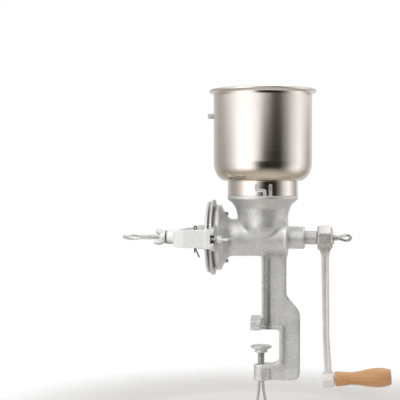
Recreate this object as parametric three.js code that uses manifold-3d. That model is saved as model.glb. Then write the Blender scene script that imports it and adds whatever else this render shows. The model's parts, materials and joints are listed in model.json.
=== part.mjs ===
// Hand-cranked grain mill: a cast body that clamps to a table edge, a steel hopper, an auger that
// feeds two burr plates, a yoke with an adjusting screw, and a crank with a wooden grip.
// Millimetres. +Z is up, +X points to the crank, -Y is the front.
// The origin is on the underside of the upper clamp jaw, below the hopper's axis.
import * as THREE from 'three';
import { mergeVertices } from 'three/addons/utils/BufferGeometryUtils.js';
import Module from 'manifold-3d';

const wasm = await Module();
wasm.setup();

// ---------- driving dimensions ----------
const GAP = 0.3; // between pieces that touch
const RUNNING = 0.06; // radial clearance of a shaft in its bearing
const ROUND = 40; // sides of large round pieces, and of the auger's journal and its bearing
const SMALL = 24; // sides of screws, nuts and washers, and of the holes they run in

const AXIS_Z = 123; // height of the auger's axis
const BARREL_RADIUS = 25;
const BARREL_BORE = 20.5;
const BARREL_END = 34;
const BEARING_END = 56.5;
const SHAFT_RADIUS = 9;
const SPINDLE_RADIUS = 8;
const SPINDLE_FRONT = -98;
const SQUARE_START = 73.5;
const SQUARE_END = 93;
const SQUARE_SIDE = 12;

const FLANGE_FRONT = -62;
const FLANGE_RADIUS = 44;
const EAR_FRONT = -64;
const EAR_BACK = -59;
const EAR_REACH = 66;
const EAR_HALF_HEIGHT = 14;
const STUD_Y = 56.5;
const STUD_RADIUS = 3;
const SLOT_HALF_HEIGHT = 5.2;

const LIP_TOP = 179; // top of the cup's lip, where the hopper's collar rests
const SPIGOT_TOP = 195;
const SPIGOT_RADIUS = 45.6;
const COLLAR_RADIUS = 47.2;
const COLLAR_INSIDE = 46;
const COLLAR_TOP = 199;
const BOWL_RADIUS = 66;
const BOWL_TOP = 321.6;
const SHEET = 1.2;
const PIN_X = 12.8;
const PIN_Z = 187.5;
const SLIT_WIDTH = 3; // of both slots in the hopper's collar
const SLIT_TOP = 194.5;
const HOOK_FOOT = 7; // right side of the J-shaped slot
const HOOK_TIP = -7; // left side of the J-shaped slot
const PIN_RADIUS = 1.2;

const FIXED_BURR_RADIUS = 51;
const ROTATING_BURR_RADIUS = 48;
const FIXED_FACE = -68;
const ROTATING_FACE = -70.3;
const BURR_TEETH = 24;
const BURR_SCREW_Z = 32;
const BURR_SCREW_RADIUS = 2.4;
const CARRIER_SCREW_Y = 21;
const COTTER_X = -91.6;

const YOKE_HALF_WIDTH = 60;
const YOKE_FRONT = -116;
const YOKE_BACK = EAR_FRONT - 0.6;
const SEAT_X = -130.5; // face of the yoke's boss
const ADJUST_RADIUS = 3.6;
const BALL_RADIUS = 3.5;

const CRANK_RADIUS = 189.5;
const GRIP_LENGTH = 74;
const GRIP_TILT = THREE.MathUtils.degToRad(3.2);
const GRIP_START = 97.4;
const HANDLE_BOLT_RADIUS = 3.3;
const HUB_CORNER = 17.3; // corner radius of the crank's eight-sided hub
const HUB_END = 93.8;
const CRANK_END = 96; // outer face of the crank's end boss
const GRIP_Z = AXIS_Z - CRANK_RADIUS;

const CLAMP_X = -2;
const CLAMP_RADIUS = 4.75;
const THROAT_BACK = 22.4;
const THROAT_BOTTOM = -47;
const CLAMP_FOOT = -69.5;
const TABLE_THICKNESS = 23;
const PAD_TOP = -TABLE_THICKNESS;
const SCREW_TIP = PAD_TOP - 4;

// ---------- finishes ----------
const FINISHES = {
  tinned_iron: { color: 0xb9b9b4, roughness: 0.5, metalness: 0.8 },
  stainless: { color: 0xd2cbc0, roughness: 0.22, metalness: 1 },
  steel: { color: 0x9a9a98, roughness: 0.35, metalness: 1 },
  wood: { color: 0xc8975f, roughness: 0.55, metalness: 0 },
};

// ---------- shape helpers ----------
function closedBody(geometry) {
  const bare = new THREE.BufferGeometry();
  bare.setAttribute('position', geometry.getAttribute('position'));
  bare.setIndex(geometry.index);
  const merged = mergeVertices(bare, 1e-4);
  const at = merged.getAttribute('position');
  const kept = [];
  let volume = 0;
  for (let i = 0; i < merged.index.count; i += 3) {
    const corners = [0, 1, 2].map((k) => merged.index.getX(i + k));
    if (new Set(corners).size === 3) {
      const [a, b, c] = corners.map((k) => new THREE.Vector3().fromBufferAttribute(at, k));
      volume += a.dot(b.cross(c));
      kept.push(...corners);
    }
  }
  if (volume < 0) kept.reverse();
  return { vertProperties: new Float32Array(at.array), triVerts: new Uint32Array(kept) };
}

function solid(geometry) {
  return new wasm.Manifold(new wasm.Mesh({ numProp: 3, ...closedBody(geometry) }));
}

function join(shapes) {
  return shapes.reduce((all, shape) => all.add(shape));
}

function cut(shape, tools) {
  return tools.reduce((left, tool) => left.subtract(tool), shape);
}

// [radius, distance] points turned around the X axis, or around Z
function turned(points, axis = 'x', sides = ROUND) {
  const profile = points.map(([radius, along]) => new THREE.Vector2(radius, along));
  const geometry = new THREE.LatheGeometry(profile, sides);
  if (axis === 'x') geometry.rotateZ(-Math.PI / 2);
  else geometry.rotateX(Math.PI / 2);
  return geometry;
}

function onAxis(points, sides = ROUND) {
  return solid(turned(points, 'x', sides).translate(0, 0, AXIS_Z));
}

function rod(radius, start, end, sides = SMALL) {
  return turned([[0, start], [radius, start], [radius, end], [0, end]], 'x', sides);
}

function post(radius, start, end, sides = SMALL) {
  return turned([[0, start], [radius, start], [radius, end], [0, end]], 'z', sides);
}

function block(low, high) {
  const [x, y, z] = high.map((value, i) => value - low[i]);
  return new THREE.BoxGeometry(x, y, z).translate(low[0] + x / 2, low[1] + y / 2, low[2] + z / 2);
}

// corners are [u, v, rounding]
function outline(corners) {
  const shape = new THREE.Shape();
  const place = (i) => new THREE.Vector2(...corners.at(i % corners.length).slice(0, 2));
  corners.forEach(([u, v, rounding = 0], i) => {
    const here = new THREE.Vector2(u, v);
    const back = place(i - 1).sub(here);
    const ahead = place(i + 1).sub(here);
    const reach = Math.min(rounding, 0.48 * back.length(), 0.48 * ahead.length());
    const from = back.setLength(reach).add(here);
    const to = ahead.setLength(reach).add(here);
    if (i === 0) shape.moveTo(from.x, from.y);
    else shape.lineTo(from.x, from.y);
    if (rounding) shape.quadraticCurveTo(u, v, to.x, to.y);
  });
  shape.closePath();
  return shape;
}

function extruded(shape, depth, curveSegments = 3) {
  return new THREE.ExtrudeGeometry(shape, { depth, curveSegments, bevelEnabled: false });
}

// an outline of [x, z] points, as thick as width along Y
function sideView(corners, width, y = 0) {
  return extruded(outline(corners), width).rotateX(Math.PI / 2).translate(0, y + width / 2, 0);
}

// an outline of [x, y] points, from low to high along Z
function topView(corners, low, high) {
  return extruded(outline(corners), high - low).translate(0, 0, low);
}

// an outline of [y, z] points, from low to high along X
function endView(corners, low, high) {
  const turn = new THREE.Matrix4().makeBasis(
    new THREE.Vector3(0, 1, 0),
    new THREE.Vector3(0, 0, 1),
    new THREE.Vector3(1, 0, 0),
  );
  return extruded(outline(corners), high - low).applyMatrix4(turn).translate(low, 0, 0);
}

function wire(points, radius, steps) {
  const path = new THREE.CatmullRomCurve3(points.map((p) => new THREE.Vector3(...p)));
  const section = new THREE.Shape().absarc(0, 0, radius, 0, 2 * Math.PI);
  return new THREE.ExtrudeGeometry(section, { extrudePath: path, steps, curveSegments: 4 });
}

// A round shank along +X from 0 to shankLength, with a teardrop eye of wire behind it
function eyeScrew({ shankRadius, shankLength, loopLength, loopWidth, wireRadius, neck }) {
  const half = loopWidth / 2 - wireRadius;
  const far = wireRadius - loopLength;
  const side = [
    [3, 0.3 * wireRadius],
    [0, neck],
    [0.3 * far, 0.62 * half],
    [0.66 * far, half],
    [0.9 * far, 0.7 * half],
  ];
  const points = [
    ...side.map(([along, across]) => [along, 0, across]),
    [far, 0, 0],
    ...side.toReversed().map(([along, across]) => [along, 0, -across]),
  ];
  const eye = solid(wire(points, wireRadius, 24));
  return eye.add(solid(rod(shankRadius, -neck * 0.6, shankLength)));
}

// The seat is at the origin and the nut grows along +X, with wings in the XZ plane
function wingNut({ hubRadius, hubLength, wingReach, wingLength, wingWidth, thickness, bore }) {
  const hub = solid(
    turned(
      [
        [0, 0],
        [hubRadius, 0],
        [hubRadius, 0.55 * hubLength],
        [0.8 * hubRadius, hubLength],
        [0, hubLength],
      ],
      'x',
      SMALL,
    ),
  );
  const root = 0.5 * hubRadius;
  const wing = [
    [0.08 * hubLength, root],
    [0.1 * hubLength, 0.95 * hubRadius, 1],
    [wingLength - wingWidth, wingReach, wingWidth * 0.4],
    [wingLength, wingReach - 0.2 * wingWidth, wingWidth * 0.45],
    [wingLength * 0.92, 0.95 * hubRadius, wingWidth * 0.35],
    [0.85 * hubLength, root],
  ];
  const wings = [1, -1].map((up) => {
    const lobe = sideView(wing, thickness);
    if (up < 0) lobe.rotateX(Math.PI);
    return solid(lobe);
  });
  const through = solid(rod(bore, -1, wingLength + 1));
  return join([hub, ...wings]).subtract(through);
}

function washer(radius, bore, start, end) {
  return solid(rod(radius, start, end, SMALL)).subtract(solid(rod(bore, start - 1, end + 1)));
}

function moved(shape, x, y, z) {
  return shape.translate([x, y, z]);
}

// ---------- mill body ----------
function cupShapes() {
  const outer = [
    [0, AXIS_Z - 3],
    [22, AXIS_Z - 1],
    [26.5, 126],
    [30, 131],
    [32.6, 138],
    [33.5, 146],
    [34.3, 154],
    [36.4, 162],
    [40, 168.6],
    [47.4, 174.8],
    [47.4, LIP_TOP],
    [SPIGOT_RADIUS, LIP_TOP],
    [SPIGOT_RADIUS, SPIGOT_TOP],
    [0, SPIGOT_TOP],
  ];
  const inner = [
    [0, AXIS_Z - 5],
    [17, AXIS_Z - 5],
    [18.5, 128],
    [25, 134],
    [29, 142],
    [30.2, 153.5],
    [32.4, 162.5],
    [36, 169.5],
    [43, 177.5],
    [43, SPIGOT_TOP + 1],
    [0, SPIGOT_TOP + 1],
  ];
  return { outer: solid(turned(outer, 'z')), inner: solid(turned(inner, 'z')) };
}

function barrelShapes() {
  const outer = onAxis([
    [0, FLANGE_FRONT],
    [FLANGE_RADIUS, FLANGE_FRONT],
    [FLANGE_RADIUS, -56],
    [38, -53.5],
    [BARREL_RADIUS + 2, -46],
    [BARREL_RADIUS, -43],
    [BARREL_RADIUS, 31],
    [BARREL_RADIUS + 1, 31],
    [BARREL_RADIUS + 1, 33],
    [BARREL_RADIUS, BARREL_END],
    [15, BARREL_END],
    [15, BEARING_END - 1],
    [14, BEARING_END],
    [0, BEARING_END],
  ]);
  const inner = onAxis([
    [0, FLANGE_FRONT - 1],
    [BARREL_BORE, FLANGE_FRONT - 1],
    [BARREL_BORE, BARREL_END - 4.5],
    [SHAFT_RADIUS + RUNNING, BARREL_END - 4.5],
    [SHAFT_RADIUS + RUNNING, BEARING_END + 1],
    [0, BEARING_END + 1],
  ]);
  return { outer, inner };
}

function ear(side) {
  const inside = side * 38;
  const tip = side * EAR_REACH;
  const slotEnd = side * (STUD_Y - 5.5);
  const plate = endView(
    [
      [inside, -EAR_HALF_HEIGHT - 4],
      [tip, -EAR_HALF_HEIGHT, 4],
      [tip, EAR_HALF_HEIGHT, 4],
      [inside, EAR_HALF_HEIGHT + 4],
    ],
    EAR_FRONT,
    EAR_BACK,
  );
  const slot = endView(
    [
      [slotEnd, -SLOT_HALF_HEIGHT, 4],
      [tip + side, -SLOT_HALF_HEIGHT],
      [tip + side, SLOT_HALF_HEIGHT],
      [slotEnd, SLOT_HALF_HEIGHT, 4],
    ],
    EAR_FRONT - 1,
    EAR_BACK + 1,
  );
  const clearOfBurr = solid(block([EAR_FRONT - 1, -38.6, -45], [FLANGE_FRONT, 38.6, 45]));
  return moved(solid(plate).subtract(solid(slot)), 0, 0, AXIS_Z).subtract(
    moved(clearOfBurr, 0, 0, AXIS_Z),
  );
}

function clampFrame() {
  const webHalf = 3.5;
  const ribHalf = 12;
  const rib = 5.5; // thickness of the flange around the throat
  const ribBack = THROAT_BACK + rib;
  const web = sideView(
    [
      [0, 104],
      [32, 104],
      [32, 45, 5],
      [50.4, 24, 8],
      [50.4, CLAMP_FOOT, 11],
      [CLAMP_X, CLAMP_FOOT],
      [CLAMP_X, THROAT_BOTTOM - 2],
      [THROAT_BACK + 2, THROAT_BOTTOM - 2, 11],
      [THROAT_BACK + 2, 2],
      [-10, 2],
      [-10, 6],
      [0, 12],
    ],
    2 * webHalf,
  );
  const throatRib = sideView(
    [
      [-14, 0],
      [THROAT_BACK, 0, 3],
      [THROAT_BACK, THROAT_BOTTOM, 10],
      [CLAMP_X, THROAT_BOTTOM],
      [CLAMP_X, THROAT_BOTTOM - rib],
      [ribBack, THROAT_BOTTOM - rib, 13],
      [ribBack, rib, 3],
      [-14, rib],
    ],
    2 * ribHalf,
  );
  const frontRib = block([-1, -14, 4], [3, 14, 104]);
  const fillets = [-1, 1].map((side) =>
    topView(
      [
        [2, side * webHalf * 0.9],
        [2, side * 11],
        [3, side * 11],
        [4.4, side * 5.8, 3],
        [10.5, side * webHalf],
        [10.5, side * webHalf * 0.9],
      ],
      5,
      104,
    ),
  );
  const pad = endView(
    [
      [-22, 0],
      [22, 0],
      [22, 13.5, 2],
      [13, 16.5, 3],
      [-13, 16.5, 3],
      [-22, 13.5, 2],
    ],
    -15.5,
    -1,
  );
  const boss = post(10, CLAMP_FOOT, THROAT_BOTTOM - 1).translate(CLAMP_X, 0, 0);
  const gusset = block([CLAMP_X, -7, CLAMP_FOOT], [9.5, 7, THROAT_BOTTOM - 2]);
  return join([web, throatRib, frontRib, ...fillets, pad, boss, gusset].map(solid));
}

function millBody() {
  const cup = cupShapes();
  const barrel = barrelShapes();
  const casting = join([cup.outer, barrel.outer, ear(-1), ear(1), clampFrame()]);
  const burrScrewHoles = [-1, 1].map((side) =>
    solid(rod(BURR_SCREW_RADIUS + GAP, -70, -40).translate(0, 0, AXIS_Z + side * BURR_SCREW_Z)),
  );
  const clampBore = solid(
    post(CLAMP_RADIUS + RUNNING, CLAMP_FOOT - 1, THROAT_BOTTOM + 1).translate(CLAMP_X, 0, 0),
  );
  return cut(casting, [
    cup.inner,
    barrel.inner,
    ...burrScrewHoles,
    clampBore,
    guidePinShape(PIN_RADIUS + GAP, 40, 47),
  ]);
}

// ---------- hopper ----------
function guidePinShape(radius, start, end) {
  const turn = Math.asin(PIN_X / COLLAR_RADIUS);
  const pin = rod(radius, start, end, 20).rotateZ(turn - Math.PI / 2).translate(0, 0, PIN_Z);
  return solid(pin);
}

function hopperCollar() {
  const ring = [
    [COLLAR_INSIDE, LIP_TOP + GAP],
    [COLLAR_RADIUS, LIP_TOP + GAP],
    [COLLAR_RADIUS, COLLAR_TOP],
    [COLLAR_INSIDE, COLLAR_TOP],
    [COLLAR_INSIDE, LIP_TOP + GAP],
  ];
  const width = SLIT_WIDTH;
  const hook = [
    [HOOK_FOOT - width, LIP_TOP - 1],
    [HOOK_FOOT, LIP_TOP - 1],
    [HOOK_FOOT, LIP_TOP + 9, 4],
    [HOOK_TIP + width, LIP_TOP + 9, 1],
    [HOOK_TIP + width, SLIT_TOP, 1.4],
    [HOOK_TIP, SLIT_TOP, 1.4],
    [HOOK_TIP, LIP_TOP + 9 - width, 4],
    [HOOK_FOOT - width, LIP_TOP + 9 - width, 1],
  ];
  const slit = [
    [PIN_X - width / 2, LIP_TOP - 1],
    [PIN_X + width / 2, LIP_TOP - 1],
    [PIN_X + width / 2, SLIT_TOP, 1.4],
    [PIN_X - width / 2, SLIT_TOP, 1.4],
  ];
  const slots = [hook, slit].map((corners) => solid(sideView(corners, 20, -COLLAR_RADIUS)));
  return cut(solid(turned(ring, 'z')), slots);
}

function hopperBowl() {
  const cornerWide = 17.5;
  const cornerHigh = 25;
  const cornerSteps = 6;
  const floor = COLLAR_TOP + GAP;
  const wall = (inset) => {
    const points = [];
    for (let i = 0; i <= cornerSteps; i += 1) {
      const turn = (i / cornerSteps) * (Math.PI / 2);
      points.push([
        BOWL_RADIUS - cornerWide + (cornerWide - inset) * Math.sin(turn),
        floor + cornerHigh - (cornerHigh - inset) * Math.cos(turn),
      ]);
    }
    return points;
  };
  const rim = [
    [BOWL_RADIUS, 313.5],
    [BOWL_RADIUS + 1.6, 316.5],
    [BOWL_RADIUS + 5, 317.8],
    [BOWL_RADIUS + 6, 319.6],
    [BOWL_RADIUS + 4.4, BOWL_TOP],
    [BOWL_RADIUS + 2, 320.6],
    [BOWL_RADIUS - SHEET, 314.5],
  ];
  const mouth = COLLAR_INSIDE;
  const profile = [
    [mouth, floor],
    ...wall(0),
    ...rim,
    ...wall(SHEET).toReversed(),
    [mouth, floor + SHEET],
    [mouth, floor],
  ];
  return solid(turned(profile, 'z'));
}

// A strap on edge, bent round into an eye whose two ends lie on the bowl
function hopperLug() {
  const z = 287;
  const halfWidth = 4.5;
  const halfHeight = 3.2;
  const reach = BOWL_RADIUS + 8.3;
  const thick = 1.2;
  const strap = topView(
    [
      [-BOWL_RADIUS + 2, -halfWidth],
      [-reach, -halfWidth, 2.6],
      [-reach, halfWidth, 2.6],
      [-BOWL_RADIUS + 2, halfWidth],
    ],
    z - halfHeight,
    z + halfHeight,
  );
  const eye = topView(
    [
      [-BOWL_RADIUS - GAP - thick, -halfWidth + thick],
      [-reach + thick, -halfWidth + thick, 1.6],
      [-reach + thick, halfWidth - thick, 1.6],
      [-BOWL_RADIUS - GAP - thick, halfWidth - thick],
    ],
    z - halfHeight - 1,
    z + halfHeight + 1,
  );
  const wall = post(BOWL_RADIUS + GAP, z - 5, z + 5, ROUND);
  return cut(solid(strap), [solid(eye), solid(wall)]);
}

// ---------- feed and burrs ----------
function augerFlight(start, end, pitch, thickness, radius) {
  const lobe = (2 * Math.PI * thickness) / pitch;
  const shape = new THREE.Shape();
  shape.absarc(0, 0, SHAFT_RADIUS - 1, lobe, 2 * Math.PI);
  shape.absarc(0, 0, radius, 0.12, lobe - 0.12);
  shape.closePath();
  const turns = (end - start) / pitch;
  const steps = Math.round(turns * 11);
  const geometry = new THREE.ExtrudeGeometry(shape, {
    depth: end - start,
    steps,
    curveSegments: 3,
    bevelEnabled: false,
  });
  const at = geometry.getAttribute('position');
  const place = new THREE.Vector3();
  for (let i = 0; i < at.count; i += 1) {
    place.fromBufferAttribute(at, i);
    place.applyAxisAngle(new THREE.Vector3(0, 0, 1), (-2 * Math.PI * place.z) / pitch);
    at.setXYZ(i, place.x, place.y, place.z);
  }
  return solid(geometry.rotateY(Math.PI / 2).translate(start, 0, AXIS_Z));
}

function auger() {
  const shaft = onAxis([
    [0, SPINDLE_FRONT + 2],
    [4, SPINDLE_FRONT + 2],
    [4, SPINDLE_FRONT],
    [SPINDLE_RADIUS - 1, SPINDLE_FRONT],
    [SPINDLE_RADIUS, SPINDLE_FRONT + 1],
    [SPINDLE_RADIUS, -56],
    [SHAFT_RADIUS, -52],
    [SHAFT_RADIUS, SQUARE_START - 1],
    [SHAFT_RADIUS - 1, SQUARE_START - GAP],
    [0, SQUARE_START - GAP],
  ]);
  const half = SQUARE_SIDE / 2;
  const square = solid(block([SQUARE_START - 2, -half, -half], [SQUARE_END, half, half]));
  const flight = augerFlight(-42, 27.5, 27, 4.5, BARREL_BORE - 0.9);
  const threadHole = moved(solid(rod(3.3, SQUARE_START - 2, 99)), 0, 0, AXIS_Z);
  return cut(join([shaft, moved(square, 0, 0, AXIS_Z), flight]), [
    threadHole,
    solid(post(2.4, AXIS_Z - 12, AXIS_Z + 12, 20).translate(COTTER_X, 0, 0)),
  ]);
}

function cotterPinPath() {
  const spread = 1.05; // half the distance between the two legs
  return [
    [COTTER_X - spread, 0, AXIS_Z - 20.5],
    [COTTER_X - spread, 0, AXIS_Z - 8],
    [COTTER_X - spread, 0, AXIS_Z + 8.5],
    [COTTER_X - 1.8, 0, AXIS_Z + 12.4],
    [COTTER_X, 0, AXIS_Z + 15],
    [COTTER_X + 1.8, 0, AXIS_Z + 12.4],
    [COTTER_X + spread, 0, AXIS_Z + 8.5],
    [COTTER_X + spread, 0, AXIS_Z - 8],
    [COTTER_X + spread, 0, AXIS_Z - 17.5],
    [COTTER_X + 2.8, 0, AXIS_Z - 22],
    [COTTER_X + 5, 0, AXIS_Z - 27],
  ];
}

function burrTeeth(inner, outer, start, end) {
  const tooth = block([start, inner, -1.1], [end, outer, 1.1]);
  const teeth = [];
  for (let i = 0; i < BURR_TEETH; i += 1) {
    teeth.push(solid(tooth.clone().rotateX((2 * Math.PI * i) / BURR_TEETH).translate(0, 0, AXIS_Z)));
  }
  return teeth;
}

function countersunkScrew(headRadius, shankRadius, front, back, y, z) {
  const profile = [
    [0, front],
    [headRadius, front],
    [headRadius, front + 0.4],
    [shankRadius, front + 0.4 + headRadius - shankRadius],
    [shankRadius, back - 0.6],
    [shankRadius - 0.6, back],
    [0, back],
  ];
  return solid(turned(profile, 'x', 24).translate(0, y, z));
}

function countersunkHole(headRadius, shankRadius, front, back, y, z) {
  const profile = [
    [0, front - 4],
    [headRadius + GAP, front - 4],
    [headRadius + GAP, front + 0.4 + GAP],
    [shankRadius + GAP, front + 0.4 + GAP + headRadius - shankRadius],
    [shankRadius + GAP, back + 4],
    [0, back + 4],
  ];
  return solid(turned(profile, 'x', 24).translate(0, y, z));
}

function fixedBurr() {
  const ring = onAxis([
    [BARREL_BORE + 1, FIXED_FACE + 1.6],
    [26, FIXED_FACE],
    [46.5, FIXED_FACE],
    [50.4, FIXED_FACE + 1.6],
    [FIXED_BURR_RADIUS, FIXED_FACE + 2.4],
    [50.4, FIXED_FACE + 3.3],
    [38, FIXED_FACE + 3.5],
    [37.5, FLANGE_FRONT - GAP],
    [BARREL_BORE + 1, FLANGE_FRONT - GAP],
    [BARREL_BORE + 1, FIXED_FACE + 1.6],
  ]);
  const holes = [-1, 1].map((side) =>
    countersunkHole(4.6, BURR_SCREW_RADIUS, FIXED_FACE, -50, 0, AXIS_Z + side * BURR_SCREW_Z),
  );
  return cut(join([ring, ...burrTeeth(27, 47.5, FIXED_FACE - 0.8, FIXED_FACE + 1)]), holes);
}

function rotatingBurr() {
  const disc = onAxis([
    [SPINDLE_RADIUS + GAP, -74],
    [ROTATING_BURR_RADIUS - 0.8, -74],
    [ROTATING_BURR_RADIUS, -73.2],
    [ROTATING_BURR_RADIUS, ROTATING_FACE - 0.5],
    [ROTATING_BURR_RADIUS - 0.8, ROTATING_FACE],
    [27, ROTATING_FACE],
    [24, ROTATING_FACE - 1.4],
    [SPINDLE_RADIUS + GAP, ROTATING_FACE - 1.4],
    [SPINDLE_RADIUS + GAP, -74],
  ]);
  const teeth = burrTeeth(26, 46.5, ROTATING_FACE - 1, ROTATING_FACE + 0.8);
  const holes = [-1, 1].map((side) => carrierScrewHole(side));
  return cut(join([disc, ...teeth]), holes);
}

// The carrier screws enter from the burr's face, towards -X
function carrierScrewProfile(extra) {
  const face = ROTATING_FACE - 1.4;
  return [
    [0, -76.2 - 4 * Math.sign(extra)],
    [2 + extra, -76.2 - 4 * Math.sign(extra)],
    [2 + extra, face - 1.9 - extra],
    [3.8 + extra, face - 0.1 - extra],
    [3.8 + extra, face + 4 * Math.sign(extra)],
    [0, face + 4 * Math.sign(extra)],
  ];
}

function carrierScrew(side, extra = 0) {
  const screw = solid(turned(carrierScrewProfile(extra), 'x', SMALL));
  return moved(screw, 0, side * CARRIER_SCREW_Y, AXIS_Z);
}

function carrierScrewHole(side) {
  return carrierScrew(side, GAP);
}

function burrCarrier() {
  const hub = onAxis([
    [SPINDLE_RADIUS + GAP, -88.5],
    [15, -88.5],
    [16, -87.5],
    [16, -79],
    [20, -77.5],
    [28, -76.8],
    [28, -74 - GAP],
    [SPINDLE_RADIUS + GAP, -74 - GAP],
    [SPINDLE_RADIUS + GAP, -88.5],
  ]);
  return cut(hub, [-1, 1].map((side) => carrierScrewHole(side)));
}

// ---------- yoke ----------
function yoke() {
  const outside = YOKE_HALF_WIDTH;
  const inside = outside - 8;
  const bow = topView(
    [
      [YOKE_BACK, -outside],
      [YOKE_BACK, -inside],
      [YOKE_FRONT + 6, -inside, 9],
      [YOKE_FRONT + 6, inside, 9],
      [YOKE_BACK, inside],
      [YOKE_BACK, outside],
      [YOKE_FRONT, outside, 15],
      [YOKE_FRONT, -outside, 15],
    ],
    -15,
    15,
  );
  const taper = sideView(
    [
      [YOKE_FRONT, -9.7],
      [YOKE_FRONT + 9, -11.3],
      [YOKE_BACK, -12.4],
      [YOKE_BACK, 12.4],
      [YOKE_FRONT + 9, 11.3],
      [YOKE_FRONT, 9.7],
    ],
    140,
  );
  const endPads = [-1, 1].map((side) => {
    const near = side * (FIXED_BURR_RADIUS + 0.5);
    const far = side * (outside + 1.4);
    const low = [YOKE_BACK - 7, Math.min(near, far), -13];
    return solid(block(low, [YOKE_BACK, Math.max(near, far), 13]));
  });
  const boss = solid(
    turned([
      [0, SEAT_X],
      [9, SEAT_X],
      [9.6, SEAT_X + 0.8],
      [10, YOKE_FRONT + 1],
      [0, YOKE_FRONT + 1],
    ]),
  );
  const body = join([solid(bow).intersect(solid(taper)), ...endPads, boss]);
  const studHoles = [-1, 1].map((side) =>
    solid(rod(STUD_RADIUS + GAP, YOKE_BACK - 6.5, YOKE_BACK + 1).translate(0, side * STUD_Y, 0)),
  );
  const bore = solid(rod(ADJUST_RADIUS + RUNNING, SEAT_X - 1, YOKE_FRONT + 8));
  return moved(cut(body, [...studHoles, bore]), 0, 0, AXIS_Z);
}

function yokeStud(side) {
  const stud = rod(STUD_RADIUS, YOKE_BACK - 6.2, -42, ROUND).translate(0, side * STUD_Y, AXIS_Z);
  return solid(stud);
}

function yokeWasher(side) {
  const ring = washer(7.4, STUD_RADIUS + RUNNING, EAR_BACK + GAP, EAR_BACK + GAP + 1.5);
  return moved(ring, 0, side * STUD_Y, AXIS_Z);
}

function yokeWingNut(side) {
  const nut = wingNut({
    hubRadius: 5.2,
    hubLength: 7.5,
    wingReach: 12.5,
    wingLength: 23,
    wingWidth: 8,
    thickness: 2.6,
    bore: STUD_RADIUS + RUNNING,
  });
  return moved(nut.rotate([90, 0, 0]), EAR_BACK + 2 * GAP + 1.5, side * STUD_Y, AXIS_Z);
}

function adjustingScrew() {
  const tip = SPINDLE_FRONT + 2 - 2 * GAP - 2 * BALL_RADIUS;
  const shankStart = -157;
  const screw = eyeScrew({
    shankRadius: ADJUST_RADIUS,
    shankLength: tip - shankStart,
    loopLength: 35,
    loopWidth: 17,
    wireRadius: 2.2,
    neck: 2.6,
  });
  return moved(screw.rotate([66, 0, 0]), shankStart, 0, AXIS_Z);
}

function lockWingNut() {
  const nut = wingNut({
    hubRadius: 8.75,
    hubLength: 8,
    wingReach: 14.5,
    wingLength: 16,
    wingWidth: 10,
    thickness: 4,
    bore: ADJUST_RADIUS + RUNNING,
  });
  const seat = SEAT_X - 2 * GAP - 0.8;
  return moved(nut.rotate([0, 0, 180]).rotate([-48, 0, 0]), seat, 0, AXIS_Z);
}

function lockWasher() {
  return moved(washer(9, ADJUST_RADIUS + RUNNING, SEAT_X - GAP - 0.8, SEAT_X - GAP), 0, 0, AXIS_Z);
}

function thrustBall() {
  const centre = SPINDLE_FRONT + 2 - GAP - BALL_RADIUS;
  return solid(new THREE.SphereGeometry(BALL_RADIUS, 16, 12).translate(centre, 0, AXIS_Z));
}

// ---------- crank ----------
// Places a shape made along +X so that its origin is on the grip's tilted axis
function onGripAxis(geometry) {
  return solid(geometry.rotateY(-GRIP_TILT).translate(CRANK_END, 0, GRIP_Z));
}

function crankArm() {
  const bend = -8;
  const foot = GRIP_Z + 8;
  const side = sideView(
    [
      [75.5, AXIS_Z - 14],
      [91, AXIS_Z - 14],
      [88.7, AXIS_Z - 23, 3],
      [89.4, bend],
      [92.8, foot],
      [83, foot],
      [80.5, bend],
      [78.4, AXIS_Z - 23, 3],
    ],
    30,
  );
  const front = endView([[-7, foot], [7, foot], [9.5, AXIS_Z], [-9.5, AXIS_Z]], 70, 100);
  const groove = sideView(
    [
      [82.8, AXIS_Z - 24, 1],
      [85.6, AXIS_Z - 24, 1],
      [86.7, bend],
      [88.8, foot + 8, 1],
      [86.3, foot + 8, 1],
      [84, bend],
    ],
    30,
  );
  const web = endView([[-5, foot], [5, foot], [7.2, AXIS_Z], [-7.2, AXIS_Z]], 70, 100);
  const arm = solid(side).intersect(solid(front)).subtract(solid(groove).subtract(solid(web)));
  const hubProfile = [
    [0, SQUARE_START],
    [HUB_CORNER - 1.2, SQUARE_START],
    [HUB_CORNER, SQUARE_START + 1.2],
    [HUB_CORNER, HUB_END - 3],
    [HUB_CORNER - 4.5, HUB_END],
    [0, HUB_END],
  ];
  const hub = solid(turned(hubProfile, 'x', 8).rotateX(Math.PI / 8).translate(0, 0, AXIS_Z));
  const bossProfile = [[0, -15.4], [9.6, -15.4], [10.8, -14], [10.8, -1.4], [9.6, 0], [0, 0]];
  const boss = onGripAxis(turned(bossProfile, 'x', 8));
  const half = SQUARE_SIDE / 2 + GAP;
  const socket = moved(solid(block([70, -half, -half], [99, half, half])), 0, 0, AXIS_Z);
  const boltHole = onGripAxis(rod(HANDLE_BOLT_RADIUS + GAP, -20, 4, 24));
  return cut(join([arm, hub, boss]), [socket, boltHole]);
}

function crankWasher() {
  return moved(washer(8.4, 3.3, HUB_END + GAP, HUB_END + GAP + 1.6), 0, 0, AXIS_Z);
}

function crankThumbScrew() {
  const start = 76;
  const neckEnd = 101;
  const screw = eyeScrew({
    shankRadius: 3,
    shankLength: neckEnd - start,
    loopLength: 18.5,
    loopWidth: 17,
    wireRadius: 1.9,
    neck: 1.9,
  });
  const collar = solid(rod(4, 2, neckEnd - 96.2, 24));
  return moved(screw.add(collar).rotate([0, 0, 180]).rotate([55, 0, 0]), neckEnd, 0, AXIS_Z);
}

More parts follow.
